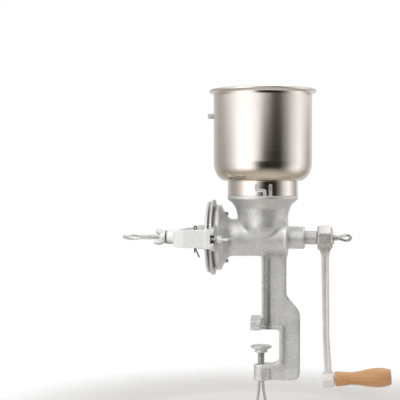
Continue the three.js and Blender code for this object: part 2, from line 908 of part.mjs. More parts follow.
function handleGrip() {
  const start = GRIP_START - CRANK_END;
  const end = start + GRIP_LENGTH;
  const bore = HANDLE_BOLT_RADIUS + RUNNING;
  const profile = [
    [bore, start],
    [9.2, start],
    [10, start + 1],
    [9.6, start + 8],
    [8.4, start + 20],
    [9.3, start + 30],
    [11.4, start + 42],
    [12.9, start + 54],
    [12.9, start + 62],
    [11.8, start + 70],
    [9.7, end - 0.8],
    [9, end],
    [6.3, end],
    [6.3, end - 6],
    [bore, end - 6],
    [bore, start],
  ];
  return onGripAxis(turned(profile, 'x', SMALL));
}

function handleBolt() {
  const end = GRIP_START - CRANK_END + GRIP_LENGTH;
  const seat = end - 6 + GAP;
  const profile = [
    [0, -14.6],
    [HANDLE_BOLT_RADIUS, -14.6],
    [HANDLE_BOLT_RADIUS, seat],
    [5.6, seat],
    [5.6, seat + 2.6],
    [3.6, seat + 3.8],
    [0, seat + 4],
  ];
  return onGripAxis(turned(profile, 'x', SMALL));
}

function handleWasher() {
  const ring = [
    [HANDLE_BOLT_RADIUS + RUNNING, GAP],
    [7.6, GAP],
    [7.6, GAP + 0.8],
    [HANDLE_BOLT_RADIUS + RUNNING, GAP + 0.8],
    [HANDLE_BOLT_RADIUS + RUNNING, GAP],
  ];
  return onGripAxis(turned(ring, 'x', SMALL));
}

// ---------- table clamp ----------
function clampPad() {
  const socket = CLAMP_RADIUS + GAP;
  const profile = [
    [0, PAD_TOP],
    [13.5, PAD_TOP],
    [14, PAD_TOP - 0.8],
    [13.5, PAD_TOP - 3],
    [8.5, PAD_TOP - 5],
    [8.5, PAD_TOP - 9],
    [socket, PAD_TOP - 9],
    [socket, SCREW_TIP + GAP],
    [0, SCREW_TIP + GAP],
  ];
  return solid(turned(profile, 'z', SMALL).translate(CLAMP_X, 0, 0));
}

function clampScrew() {
  const loopTop = CLAMP_FOOT - 1.4;
  const screw = eyeScrew({
    shankRadius: CLAMP_RADIUS,
    shankLength: SCREW_TIP - loopTop,
    loopLength: 47,
    loopWidth: 19,
    wireRadius: 1.9,
    neck: 3,
  });
  return moved(screw.rotate([47, 0, 0]).rotate([0, -90, 0]), CLAMP_X, 0, loopTop);
}

// ---------- assembly ----------
const mill = new THREE.Group();

function add(name, shape, finish) {
  const { vertProperties, triVerts } = shape.getMesh();
  const geometry = new THREE.BufferGeometry();
  geometry.setAttribute('position', new THREE.BufferAttribute(vertProperties, 3));
  geometry.setIndex(new THREE.BufferAttribute(triVerts, 1));
  geometry.computeVertexNormals();
  const mesh = new THREE.Mesh(geometry, new THREE.MeshStandardMaterial(FINISHES[finish]));
  mesh.name = name;
  mill.add(mesh);
}

add('mill_body', millBody(), 'tinned_iron');
add('hopper_bowl', hopperBowl(), 'stainless');
add('hopper_collar', hopperCollar(), 'stainless');
add('hopper_lug', hopperLug(), 'stainless');
add('hopper_guide_pin', guidePinShape(PIN_RADIUS, 41.5, 48.4), 'steel');
add('auger', auger(), 'tinned_iron');
add('burr_carrier', burrCarrier(), 'tinned_iron');
add('rotating_burr', rotatingBurr(), 'tinned_iron');
add('fixed_burr', fixedBurr(), 'tinned_iron');
for (const [place, side] of [['upper', 1], ['lower', -1]]) {
  const z = AXIS_Z + side * BURR_SCREW_Z;
  const screw = countersunkScrew(4.6, BURR_SCREW_RADIUS, FIXED_FACE, -46.5, 0, z);
  add(`burr_screw_${place}`, screw, 'steel');
}
add('cotter_pin', solid(wire(cotterPinPath(), 0.95, 34)), 'steel');
add('thrust_ball', thrustBall(), 'steel');
add('yoke', yoke(), 'tinned_iron');
add('adjusting_screw', adjustingScrew(), 'tinned_iron');
add('lock_washer', lockWasher(), 'steel');
add('lock_wing_nut', lockWingNut(), 'tinned_iron');
for (const [place, side] of [['near', -1], ['far', 1]]) {
  add(`carrier_screw_${place}`, carrierScrew(side), 'steel');
  add(`yoke_stud_${place}`, yokeStud(side), 'steel');
  add(`yoke_washer_${place}`, yokeWasher(side), 'steel');
  add(`yoke_wing_nut_${place}`, yokeWingNut(side), 'tinned_iron');
}
add('crank_arm', crankArm(), 'tinned_iron');
add('crank_washer', crankWasher(), 'steel');
add('crank_thumb_screw', crankThumbScrew(), 'tinned_iron');
add('handle_grip', handleGrip(), 'wood');
add('handle_bolt', handleBolt(), 'steel');
add('handle_washer', handleWasher(), 'steel');
add('clamp_pad', clampPad(), 'tinned_iron');
add('clamp_screw', clampScrew(), 'tinned_iron');

export default mill;
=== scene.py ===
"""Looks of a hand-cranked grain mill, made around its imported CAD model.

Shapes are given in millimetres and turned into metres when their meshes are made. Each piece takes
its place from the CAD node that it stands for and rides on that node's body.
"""
import json
import math

import bmesh
import bpy
import numpy as np
from mathutils import Matrix, Vector


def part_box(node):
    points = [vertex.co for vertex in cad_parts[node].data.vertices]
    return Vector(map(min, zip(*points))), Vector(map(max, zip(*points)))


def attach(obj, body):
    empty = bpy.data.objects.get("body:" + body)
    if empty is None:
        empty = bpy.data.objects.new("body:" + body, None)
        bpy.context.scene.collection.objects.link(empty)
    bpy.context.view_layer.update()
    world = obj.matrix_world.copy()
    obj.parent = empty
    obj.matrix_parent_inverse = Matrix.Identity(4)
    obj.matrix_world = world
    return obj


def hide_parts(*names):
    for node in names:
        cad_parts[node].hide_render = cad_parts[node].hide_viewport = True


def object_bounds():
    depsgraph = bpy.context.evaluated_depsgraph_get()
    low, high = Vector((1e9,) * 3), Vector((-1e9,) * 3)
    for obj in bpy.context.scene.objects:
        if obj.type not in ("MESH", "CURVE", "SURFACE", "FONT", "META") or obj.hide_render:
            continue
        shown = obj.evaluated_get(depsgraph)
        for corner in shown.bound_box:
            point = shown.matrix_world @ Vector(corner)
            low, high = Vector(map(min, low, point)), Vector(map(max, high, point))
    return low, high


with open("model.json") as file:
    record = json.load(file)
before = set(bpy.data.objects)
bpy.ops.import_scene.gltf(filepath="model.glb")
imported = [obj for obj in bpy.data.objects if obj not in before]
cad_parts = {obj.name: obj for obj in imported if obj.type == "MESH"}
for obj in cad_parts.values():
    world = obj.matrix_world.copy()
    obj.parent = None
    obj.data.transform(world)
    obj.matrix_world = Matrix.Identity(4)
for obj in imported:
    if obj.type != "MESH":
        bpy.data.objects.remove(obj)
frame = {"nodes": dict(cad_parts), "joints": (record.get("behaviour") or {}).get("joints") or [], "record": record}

CAD_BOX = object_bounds()
RECORD = frame["record"]
BODY_OF = {node: body for body, nodes in RECORD["behaviour"]["bodies"].items() for node in nodes}
MM = 0.001


def low(node):
    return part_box(node)[0] / MM


def high(node):
    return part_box(node)[1] / MM


def middle(node):
    return (low(node) + high(node)) / 2


AXIS_Z = middle("thrust_ball").z  # height of the auger's axis
AXIS = (0, AXIS_Z)
BARREL_RADIUS = 25
BARREL_SIDES = 40  # of the CAD model's large round shapes
NECK_RADIUS = 33  # of the cup's neck, just above the barrel
SHEET = 1.2  # thickness of the hopper's steel
PIN_LEAN = 0.6  # from the middle of the guide pin's box to where the pin crosses the collar


# ---------- meshes ----------
def mesh_of(points, faces):
    mesh = bpy.data.meshes.new("shape")
    mesh.from_pydata([Vector(point) * MM for point in points], [], faces)
    shape = bmesh.new()
    shape.from_mesh(mesh)
    bmesh.ops.recalc_face_normals(shape, faces=shape.faces)
    shape.to_mesh(mesh)
    shape.free()
    return mesh


def joined(*meshes):
    shape = bmesh.new()
    for mesh in meshes:
        shape.from_mesh(mesh)
    whole = bpy.data.meshes.new("shape")
    shape.to_mesh(whole)
    shape.free()
    return whole


def moved(mesh, matrix):
    mesh.transform(matrix)
    return mesh


def shift(x, y, z):
    return Matrix.Translation(Vector((x, y, z)) * MM)


def turn(degrees, axis):
    return Matrix.Rotation(math.radians(degrees), 4, axis)


def applied(mesh, *modifiers, weights=None):
    """The mesh after these modifiers. weights, one for each vertex, are their vertex group "mask"."""
    holder = bpy.data.objects.new("holder", mesh)
    bpy.context.scene.collection.objects.link(holder)
    if weights is not None:
        group = holder.vertex_groups.new(name="mask")
        for i in np.flatnonzero(weights > 0.01):
            group.add([int(i)], float(weights[i]), "REPLACE")
    for kind, settings in modifiers:
        modifier = holder.modifiers.new(kind.lower(), kind)
        for setting, value in settings.items():
            setattr(modifier, setting, value)
    graph = bpy.context.evaluated_depsgraph_get()
    result = bpy.data.meshes.new_from_object(holder.evaluated_get(graph))
    bpy.data.objects.remove(holder)
    return result


def cut(mesh, *tools):
    holders = [bpy.data.objects.new("tool", tool) for tool in tools]
    steps = [("BOOLEAN", {"operation": "DIFFERENCE", "object": tool, "solver": "EXACT"}) for tool in holders]
    for holder in holders:
        bpy.context.scene.collection.objects.link(holder)
    result = applied(mesh, *steps)
    for holder in holders:
        bpy.data.objects.remove(holder)
    return result


def corner_arc(before, corner, after, radius, steps):
    """The arc that rounds a corner, as points."""
    back, ahead = before - corner, after - corner
    half = back.angle(ahead) / 2
    reach = min(radius / math.tan(half), 0.48 * back.length, 0.48 * ahead.length)
    middle_way = (back.normalized() + ahead.normalized()).normalized()
    centre = corner + middle_way * (reach / math.cos(half))
    start, end = corner + back.normalized() * reach - centre, corner + ahead.normalized() * reach - centre
    return [centre + start.slerp(end, i / steps) * start.length for i in range(steps + 1)]


def rounded(corners, loop=False, steps=5):
    """(u, v) or (u, v, radius) corners, with an arc at each corner that has a radius."""
    places = [Vector(corner[:2]) for corner in corners]
    line = []
    for i, corner in enumerate(corners):
        if len(corner) > 2:
            ahead = places[(i + 1) % len(places)]
            line += corner_arc(places[i - 1], places[i], ahead, corner[2], steps)
        else:
            line.append(places[i])
    line = [tuple(point) for point in line]
    return line + line[:1] if loop else line


def braced(profile, margin=0.35):
    """The profile with extra points near its corners, so that smooth shading leaves it flat between."""
    line = [profile[0]]
    for a, b in zip(profile, profile[1:]):
        length = math.dist(a, b)
        if length > 4 * margin:
            for share in (margin / length, 1 - margin / length):
                line.append((a[0] + (b[0] - a[0]) * share, a[1] + (b[1] - a[1]) * share))
        line.append(b)
    return line


def turned(profile, axis="x", centre=AXIS, segments=128):
    """(radius, along) points turned about the axis: a profile starts and ends on it or closes on itself."""
    profile = braced(profile)
    ring = profile[:-1] if profile[0] == profile[-1] else profile
    points, rings = [], []
    for radius, along in ring:
        count = segments if radius > 1e-6 else 1
        rings.append(range(len(points), len(points) + count))
        for i in range(count):
            angle = 2 * math.pi * i / segments
            u, v = centre[0] + radius * math.cos(angle), centre[1] + radius * math.sin(angle)
            points.append((along, u, v) if axis == "x" else (u, v, along))
    pairs = list(zip(rings, rings[1:]))
    if len(ring) < len(profile):
        pairs.append((rings[-1], rings[0]))
    faces = []
    for a, b in pairs:
        for i in range(segments):
            j = (i + 1) % segments
            face = (a[i % len(a)], a[j % len(a)], b[j % len(b)], b[i % len(b)])
            faces.append(tuple(dict.fromkeys(face)))
    return mesh_of(points, [face for face in faces if len(face) > 2])


def extruded(outline, start, end, plane="xz"):
    """An outline of points in this plane, from start to end along the third axis."""
    count = len(outline)
    order = {"xz": (0, 2, 1), "yz": (2, 0, 1), "xy": (0, 1, 2)}[plane]
    points = [[(u, v, w)[i] for i in order] for w in (start, end) for u, v in outline]
    sides = [(i, (i + 1) % count, count + (i + 1) % count, count + i) for i in range(count)]
    return mesh_of(points, [tuple(range(count)), tuple(range(count, 2 * count)), *sides])


def through(points, steps=8):
    """A smooth line through the points."""
    points = [Vector(point) for point in points]
    last = len(points) - 1
    line = []
    for i in range(last):
        a, b, c, d = (points[max(0, min(last, i + k))] for k in (-1, 0, 1, 2))
        for t in (k / steps for k in range(steps)):
            line.append(
                b + (c - a) * (t / 2) + (2 * a - 5 * b + 4 * c - d) * (t * t / 2)
                + (3 * (b - c) + d - a) * (t ** 3 / 2)
            )
    return [*line, points[-1]]


def swept(path, radius, sides=20):
    """A wire along a path, with round ends."""
    angles = [2 * math.pi * i / sides for i in range(sides)]
    section = [(radius * math.cos(a), radius * math.sin(a)) for a in angles]
    last = len(path) - 1
    dome = [(math.sin(a), math.cos(a)) for a in (0.0, 0.5, 0.95, 1.35)]
    tangents = [(path[min(i + 1, last)] - path[max(i - 1, 0)]).normalized() for i in range(last + 1)]
    side = tangents[0].orthogonal().normalized()
    points = []
    for i, here in enumerate(path):
        side = (side - tangents[i] * side.dot(tangents[i])).normalized()
        up = tangents[i].cross(side)
        ends = {0: dome[::-1], last: dome}.get(i, [(0, 1)])
        way = -1 if i == 0 else 1
        for off, size in ends:
            centre = here + tangents[i] * (off * radius * way)
            points += [centre + side * (u * size) + up * (v * size) for u, v in section]
    count = len(points) // sides
    faces = [tuple(range(sides)), tuple(range((count - 1) * sides, count * sides))]
    for k in range(count - 1):
        for i in range(sides):
            j = (i + 1) % sides
            faces.append((k * sides + i, k * sides + j, (k + 1) * sides + j, (k + 1) * sides + i))
    return mesh_of(points, faces)


def threaded(radius, start, end, pitch, plain, chamfer=0.6, sides=36):
    """A rod along X from start to end, with a right-hand thread after its first plain millimetres."""
    depth = 0.54 * pitch  # of a metric thread
    steps = max(8, round((end - start) / pitch * 8))
    points = [(start, 0, 0)]
    for k in range(steps + 1):
        x = start + (end - start) * k / steps
        for i in range(sides):
            angle = 2 * math.pi * i / sides
            wave = abs(2 * ((x / pitch - i / sides) % 1) - 1)
            crest = min(1, max(0, 1.25 * wave - 0.12))
            fade = min(1, max(0, (x - start - plain) / pitch))
            edge = max(0, chamfer - min(x - start, end - x))
            r = min(radius - depth * fade * (1 - crest), radius - edge)
            points.append((x, r * math.cos(angle), r * math.sin(angle)))
    points.append((end, 0, 0))
    last = len(points) - 1
    faces = []
    for i in range(sides):
        j = (i + 1) % sides
        faces.append((0, 1 + i, 1 + j))
        faces.append((last, last - sides + i, last - sides + j))
        for k in range(steps):
            a = 1 + k * sides
            faces.append((a + i, a + j, a + sides + j, a + sides + i))
    return mesh_of(points, faces)


# ---------- castings ----------
def for_points(mesh, what):
    """What the mesh says of each point: "co" for its place, or "normal"."""
    values = np.empty(len(mesh.vertices) * 3)
    mesh.vertices.foreach_get(what, values)
    return values.reshape(-1, 3)


def places(mesh):
    return for_points(mesh, "co") / MM


def make_round(mesh, sides, centre, across, chosen):
    """Swells a many-sided turned shape to a round one at the chosen points.

    across is the numbers of its two axes.
    """
    at, normal = places(mesh), for_points(mesh, "normal")
    u, v = at[:, across[0]] - centre[0], at[:, across[1]] - centre[1]
    radius = np.maximum(np.hypot(u, v), 1e-6)
    sideways = np.abs(normal[:, across[1]] * u - normal[:, across[0]] * v) / radius
    share = np.clip((0.3 - sideways) / 0.15, 0, 1) * chosen
    step = 2 * math.pi / sides
    off = np.arctan2(v, u) % step - step / 2
    grow = 1 + share * (np.cos(off) / math.cos(step / 2) - 1)
    at[:, across[0]] = centre[0] + u * grow
    at[:, across[1]] = centre[1] + v * grow
    mesh.vertices.foreach_set("co", (at * MM).ravel())
    mesh.update()


def remeshed(mesh, voxel):
    return applied(mesh, ("REMESH", {"mode": "VOXEL", "voxel_size": voxel * MM, "adaptivity": 0.0}))


def smoothed(mesh, repeats, weights=None):
    settings = {"factor": 0.5, "iterations": repeats}
    if weights is not None:
        settings["vertex_group"] = "mask"
    return applied(mesh, ("SMOOTH", settings), weights=weights)


def uneven(mesh, size, height):
    """The slight unevenness of a sand casting: lumps of this size and height."""
    texture = bpy.data.textures.new("unevenness", "CLOUDS")
    texture.noise_scale = size * MM
    texture.noise_depth = 2
    settings = {"texture": texture, "strength": height * MM, "mid_level": 0.5, "texture_coords": "LOCAL"}
    return applied(mesh, ("DISPLACE", settings))


def cad_mesh(node):
    return frame["nodes"][node].data.copy()


def cast(node, voxel, repeats, height, size):
    """The CAD node's shape as a casting: soft edges and a slightly uneven skin."""
    return uneven(smoothed(remeshed(cad_mesh(node), voxel), repeats), size, height)


# ---------- materials ----------
class Shader:
    """A material's node tree, with a short way to add and link its nodes."""

    def __init__(self, name):
        self.material = bpy.data.materials.new(name)
        self.material.use_nodes = True
        self.tree = self.material.node_tree
        self.surface = self.tree.nodes["Principled BSDF"]
        self.where = self.node("ShaderNodeTexCoord").outputs["Object"]

    def node(self, kind, **settings):
        node = self.tree.nodes.new(kind)
        for setting, value in settings.items():
            setattr(node, setting, value)
        return node

    def link(self, source, socket):
        self.tree.links.new(source, socket)

    def set(self, **values):
        for name, value in values.items():
            self.surface.inputs[name.replace("_", " ")].default_value = value

    def stretched(self, scale):
        mapping = self.node("ShaderNodeMapping")
        mapping.inputs["Scale"].default_value = scale
        self.link(self.where, mapping.inputs["Vector"])
        return mapping.outputs["Vector"]

    def noise(self, scale, detail, roughness, vector=None):
        node = self.node("ShaderNodeTexNoise")
        node.inputs["Scale"].default_value = scale
        node.inputs["Detail"].default_value = detail
        node.inputs["Roughness"].default_value = roughness
        self.link(vector or self.where, node.inputs["Vector"])
        return node.outputs["Fac"]

    def span(self, value, start, end, low_value, high_value):
        """low_value where value is start, high_value where it is end."""
        node = self.node("ShaderNodeMapRange", interpolation_type="SMOOTHSTEP")
        numbers = {"From Min": start, "From Max": end, "To Min": low_value, "To Max": high_value}
        for socket, number in numbers.items():
            node.inputs[socket].default_value = number
        self.link(value, node.inputs["Value"])
        return node.outputs["Result"]

    def ramp(self, value, *stops):
        """stops are (position, colour or grey)."""
        node = self.node("ShaderNodeValToRGB")
        marks = node.color_ramp.elements
        while len(marks) < len(stops):
            marks.new(0.5)
        for mark, (position, colour) in zip(marks, stops):
            mark.position = position
            mark.color = (colour,) * 3 + (1,) if isinstance(colour, float) else (*colour, 1)
        self.link(value, node.inputs["Fac"])
        return node.outputs["Color"]

    def mix(self, share, a, b, kind="MIX"):
        """a and b are colours, or outputs. share is a number or an output."""
        node = self.node("ShaderNodeMix", data_type="RGBA", blend_type=kind)
        for socket, value in ((node.inputs[0], share), (node.inputs[6], a), (node.inputs[7], b)):
            if isinstance(value, bpy.types.NodeSocket):
                self.link(value, socket)
            else:
                socket.default_value = value if isinstance(value, float) else (*value, 1)
        return node.outputs[2]

    def bump(self, height, distance, strength, under=None):
        node = self.node("ShaderNodeBump")
        node.inputs["Strength"].default_value = strength
        node.inputs["Distance"].default_value = distance * MM
        self.link(height, node.inputs["Height"])
        if under is not None:
            self.link(under, node.inputs["Normal"])
        return node.outputs["Normal"]


def cast_tin(name, light, dark, metallic, roughness=0.42, grain=1.0, polished_above=None, painted_shade=()):
    """Hot-tinned sand casting: a pebbled satin grey skin with soft mottling, pits, worn edges and painted shade in
    creases.

    The skin is smoother near the top. polished_above is the height in metres where bare metal starts.
    The last argument lists zones of painted shade in recesses and under parts: a centre and reach in millimetres,
    and how much darker the middle is.
    """
    s = Shader(name)
    s.set(Metallic=metallic)
    height = s.node("ShaderNodeSeparateXYZ")
    s.link(s.where, height.inputs[0])
    if polished_above:
        share = s.span(height.outputs["Z"], polished_above - 0.012, polished_above, metallic, 0.9)
        s.link(share, s.surface.inputs["Metallic"])
    sandy = s.span(height.outputs["Z"], 0.07, 0.15, 0.5 * grain, 0.2 * grain)
    blotch = s.noise(70, 4, 0.6)
    pebble = s.noise(560, 2, 0.5)
    speckle = s.noise(1100, 3, 0.65)
    pits = s.node("ShaderNodeTexVoronoi")
    pits.inputs["Scale"].default_value = 420
    s.link(s.where, pits.inputs["Vector"])
    pit = s.ramp(pits.outputs["Distance"], (0.06, 0.0), (0.3, 1.0))
    colour = s.mix(s.ramp(blotch, (0.35, 0.0), (0.7, 1.0)), light, dark)
    colour = s.mix(sandy, colour, s.ramp(pebble, (0.36, 0.55), (0.54, 1.0)), "MULTIPLY")
    colour = s.mix(0.28 * grain, colour, s.ramp(speckle, (0.3, 0.4), (0.6, 1.0)), "MULTIPLY")
    colour = s.mix(0.15, colour, pit, "MULTIPLY")
    edge_wear_and_crevice_shade = s.node("ShaderNodeNewGeometry").outputs["Pointiness"]
    bright = tuple(min(1, 1.12 * c) for c in light)
    colour = s.mix(s.ramp(edge_wear_and_crevice_shade, (0.52, 0.0), (0.58, 0.7)), colour, bright)
    # Painted shade: concave creases and hollows are darkened.
    colour = s.mix(0.4, colour, s.ramp(edge_wear_and_crevice_shade, (0.42, 0.1), (0.495, 1.0)), "MULTIPLY")
    # Painted shade: each zone darkens the colour towards its middle.
    for centre, reach, depth in painted_shade:
        place = s.node("ShaderNodeMapping")
        place.inputs["Scale"].default_value = [1 / (MM * r) for r in reach]
        place.inputs["Location"].default_value = [-c / r for c, r in zip(centre, reach)]
        s.link(s.where, place.inputs["Vector"])
        distance = s.node("ShaderNodeVectorMath", operation="LENGTH")
        s.link(place.outputs["Vector"], distance.inputs[0])
        shade_factor = s.span(distance.outputs["Value"], 0.25, 1.0, 1 - depth, 1.0)
        colour = s.mix(1.0, colour, shade_factor, "MULTIPLY")
    if polished_above:
        facets = s.span(height.outputs["Z"], polished_above - 0.006, polished_above + 0.004, 1.0, 0.74)
        colour = s.mix(1.0, colour, facets, "MULTIPLY")
    s.link(colour, s.surface.inputs["Base Color"])
    rough = s.ramp(s.noise(160, 4, 0.6), (0.3, roughness - 0.09), (0.7, roughness + 0.12))
    s.link(rough, s.surface.inputs["Roughness"])
    lumps = s.bump(pebble, 0.7 * grain, 0.6)
    grit = s.bump(speckle, 0.22 * grain, 0.6, lumps)
    s.link(s.bump(pit, 0.1 * grain, 0.5, grit), s.surface.inputs["Normal"])
    return s.material


def stainless(name, colour, roughness, strength, painted_reflection_heights=None):
    """Spun stainless sheet: fine turning marks, a warm tint and slightly uneven polish.

    strength is the marks' own. The last argument gives the heights in metres between which the sheet turns
    straw-coloured: a painted warm reflection of wood.
    """
    s = Shader(name)
    s.set(Metallic=1.0, Anisotropic=0.35)
    tangent = s.node("ShaderNodeTangent", direction_type="RADIAL", axis="Z")
    s.link(tangent.outputs[0], s.surface.inputs["Tangent"])
    marks = s.noise(1, 3, 0.6, s.stretched((2, 2, 900)))
    cloud = s.noise(30, 3, 0.5)
    tint = s.mix(s.ramp(cloud, (0.3, 0.0), (0.7, 1.0)), colour, tuple(0.95 * c for c in colour))
    tint = s.mix(0.12, tint, s.ramp(marks, (0.3, 0.7), (0.7, 1.0)), "MULTIPLY")
    # Painted reflection: the sheet turns straw-coloured low down.
    if painted_reflection_heights:
        height = s.node("ShaderNodeSeparateXYZ")
        s.link(s.where, height.inputs[0])
        painted_reflection_tint = s.mix(1.0, tint, (0.84, 0.78, 0.69), "MULTIPLY")
        tint = s.mix(s.span(height.outputs["Z"], *painted_reflection_heights, 0.0, 1.0), tint, painted_reflection_tint)
    s.link(tint, s.surface.inputs["Base Color"])
    rough = s.ramp(marks, (0.25, roughness - 0.04), (0.75, roughness + 0.05))
    s.link(rough, s.surface.inputs["Roughness"])
    s.link(s.bump(marks, 0.02, strength), s.surface.inputs["Normal"])
    return s.material


def plain_steel(name, colour, roughness, tarnish, metallic=1.0):
    """Plated or oiled steel hardware: fine scratches and a little tarnish."""
    s = Shader(name)
    s.set(Metallic=metallic)
    stain = s.ramp(s.noise(240, 5, 0.65), (0.4, 0.0), (0.72, 1.0))
    s.link(s.mix(stain, colour, tarnish), s.surface.inputs["Base Color"])
    scratch = s.noise(1, 4, 0.6, s.stretched((300, 2200, 2200)))
    rough = s.ramp(scratch, (0.3, roughness - 0.07), (0.7, roughness + 0.12))
    s.link(rough, s.surface.inputs["Roughness"])
    s.link(s.bump(scratch, 0.02, 0.25), s.surface.inputs["Normal"])
    return s.material


def turned_wood(name):
    """Clear-lacquered hardwood, its grain along the grip."""
    s = Shader(name)
    s.set(Coat_Weight=0.35, Coat_Roughness=0.22, Specular_IOR_Level=0.45)
    along = s.stretched((14, 150, 150))
    warp = s.noise(1.0, 2, 0.5, s.stretched((12, 40, 40)))
    bands = s.node("ShaderNodeTexWave", wave_type="BANDS", bands_direction="DIAGONAL")
    bands.inputs["Scale"].default_value = 1.1
    bands.inputs["Distortion"].default_value = 7.0
    bands.inputs["Detail"].default_value = 3.0
    bands.inputs["Detail Scale"].default_value = 0.7
    s.link(s.stretched((16, 170, 120)), bands.inputs["Vector"])
    ring = s.ramp(bands.outputs["Fac"], (0.0, 0.0), (0.75, 0.6), (1.0, 1.0))
    fibre = s.noise(1.0, 6, 0.7, s.stretched((60, 1500, 1500)))
    colour = s.mix(ring, (0.65, 0.335, 0.14), (0.53, 0.25, 0.09))
    colour = s.mix(s.ramp(warp, (0.35, 0.0), (0.7, 0.6)), colour, (0.72, 0.40, 0.18))
    colour = s.mix(0.4, colour, s.ramp(fibre, (0.3, 0.5), (0.62, 1.0)), "MULTIPLY")
    pores = s.ramp(s.noise(1.0, 3, 0.6, s.stretched((110, 2600, 2600))), (0.3, 0.35), (0.42, 1.0))
    colour = s.mix(0.3, colour, pores, "MULTIPLY")
    s.link(colour, s.surface.inputs["Base Color"])
    s.link(s.ramp(s.noise(1.0, 4, 0.6, along), (0.3, 0.36), (0.7, 0.5)), s.surface.inputs["Roughness"])
    grain = s.bump(fibre, 0.06, 0.25)
    s.link(s.bump(pores, 0.05, 0.3, grain), s.surface.inputs["Normal"])
    return s.material


TIN = (0.87, 0.865, 0.85), (0.73, 0.725, 0.71)  # light and dark parts of the skin
CASTING = cast_tin("tinned_casting", *TIN, 0.85)
BODY_CASTING = cast_tin(
    "body_casting", *TIN, 0.85,
    painted_shade=[
        ((-49, 0, 123), (15, 46, 30), 0.5),  # painted shade round the flange
        ((8.2, -11, 22), (4.6, 16, 84), 0.45),  # painted shade down the post, beside its web
        ((8.2, -11, -2), (8, 16, 24), 0.35),  # painted shade at the web's foot
    ],
)
BRIGHT_CASTING = cast_tin(
    "bright_tinned_casting", (0.98, 0.975, 0.965), (0.92, 0.915, 0.905), 0.15, 0.45, 0.5,
    painted_shade=[
        ((-128, 0, 111), (17, 26, 12), 0.5),  # painted shade under the yoke's boss
        ((-130.5, 0, 123), (3, 22, 20), 0.3),  # painted shade on the boss's end face, beside the washer
    ],
)
NUT_CASTING = cast_tin(
    "nut_casting", (0.86, 0.855, 0.84), (0.74, 0.735, 0.72), 0.75, 0.36, 0.6,
    painted_shade=[((-138, 0, 113), (13, 14, 10), 0.5)],  # painted shade under the lock nut
)
ARM_CASTING = cast_tin("arm_casting", (0.90, 0.865, 0.835), (0.82, 0.78, 0.75), 0.35, 0.36, 0.5, 0.106)
BURR_IRON = cast_tin("burr_iron", (0.72, 0.715, 0.7), (0.55, 0.545, 0.53), 0.8, 0.42, 0.6)
# The bowl's straw-coloured bottom is a painted reflection.
BOWL_STEEL = stainless("bowl_steel", (0.825, 0.77, 0.725), 0.15, 0.05, painted_reflection_heights=(0.217, 0.2095))
COLLAR_STEEL = stainless("collar_steel", (0.84, 0.785, 0.74), 0.09, 0.03)
# The slot lips' near-white matte steel is a painted highlight on the raised beads.
LIP_HIGHLIGHT_STEEL = plain_steel("lip_painted_highlight", (0.97, 0.955, 0.94), 0.42, (0.9, 0.885, 0.87), 0.35)
STRAP_STEEL = plain_steel("strap_steel", (0.6, 0.61, 0.6), 0.38, (0.44, 0.45, 0.44), 0.4)
FORGED_STEEL = plain_steel("forged_steel", (0.86, 0.855, 0.84), 0.34, (0.7, 0.69, 0.67), 0.7)
ZINC = plain_steel("zinc_steel", (0.72, 0.72, 0.71), 0.28, (0.52, 0.52, 0.51))
WIRE_STEEL = plain_steel("wire_steel", (0.60, 0.595, 0.58), 0.27, (0.42, 0.41, 0.39))
DARK = plain_steel("dark_steel", (0.12, 0.12, 0.12), 0.4, (0.06, 0.055, 0.05))
WOOD = turned_wood("grip_wood")


# ---------- pieces ----------
def piece(node, mesh, material, sharp=35, name=None):
    """The finished piece for a CAD node. Edges sharper than this angle stay crisp."""
    mesh.polygons.foreach_set("use_smooth", [True] * len(mesh.polygons))
    mesh.set_sharp_from_angle(angle=math.radians(sharp))
    mesh.materials.clear()
    mesh.materials.append(material)
    thing = bpy.data.objects.new(name or f"{node}_finished", mesh)
    bpy.context.scene.collection.objects.link(thing)
    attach(thing, BODY_OF[node])
    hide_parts(node)


def mill_body():
    """The body's casting, with fillets where the cup, the post and the flange meet the barrel."""
    cup_base, flange_x, half_barrel, fillet = 148, -45, 27, 7
    web = [(2.5, -5.6), (5.5, -4.6), (10.5, -3.3), (10.5, 3.3), (5.5, 4.6), (2.5, 5.6)]
    mesh = remeshed(joined(cad_mesh("mill_body"), extruded(web, 4, 98, "xy")), 0.9)
    at = places(mesh)
    near = np.hypot(at[:, 1], at[:, 2] - AXIS_Z) < 45
    off_axis = np.abs(at[:, 1]) + np.abs(at[:, 2] - AXIS_Z) > 6
    make_round(mesh, BARREL_SIDES, (0, 0), (0, 1), at[:, 2] > cup_base)
    make_round(mesh, BARREL_SIDES, AXIS, (1, 2), near & off_axis & (at[:, 2] < cup_base - 1))
    at = places(mesh)
    from_barrel = np.abs(np.hypot(at[:, 1], at[:, 2] - AXIS_Z) - BARREL_RADIUS)
    from_cup = np.abs(np.hypot(at[:, 0], at[:, 1]) - NECK_RADIUS)
    outside = np.hypot(at[:, 1], at[:, 2] - AXIS_Z) > BARREL_RADIUS - 2
    above = (at[:, 2] > AXIS_Z - 12) & (at[:, 2] < cup_base + 4)
    inboard = np.clip((half_barrel - np.abs(at[:, 0])) / 6, 0, 1)
    neck = np.clip(1.6 - (from_barrel + from_cup) / fillet, 0, 1) * above * outside * inboard
    post = np.clip(1.4 - from_barrel / fillet, 0, 1) * (at[:, 2] < 104) * (np.abs(at[:, 1]) < 20)
    flange = np.clip(1.5 - (np.abs(at[:, 0] - flange_x) + from_barrel) / fillet, 0, 1)
    mesh = smoothed(mesh, 5)
    mesh = smoothed(mesh, 70, np.maximum.reduce([neck, post * 0.6, flange * 0.6]))
    piece("mill_body", uneven(uneven(mesh, 16, 0.4), 5, 0.12), BODY_CASTING, 60)


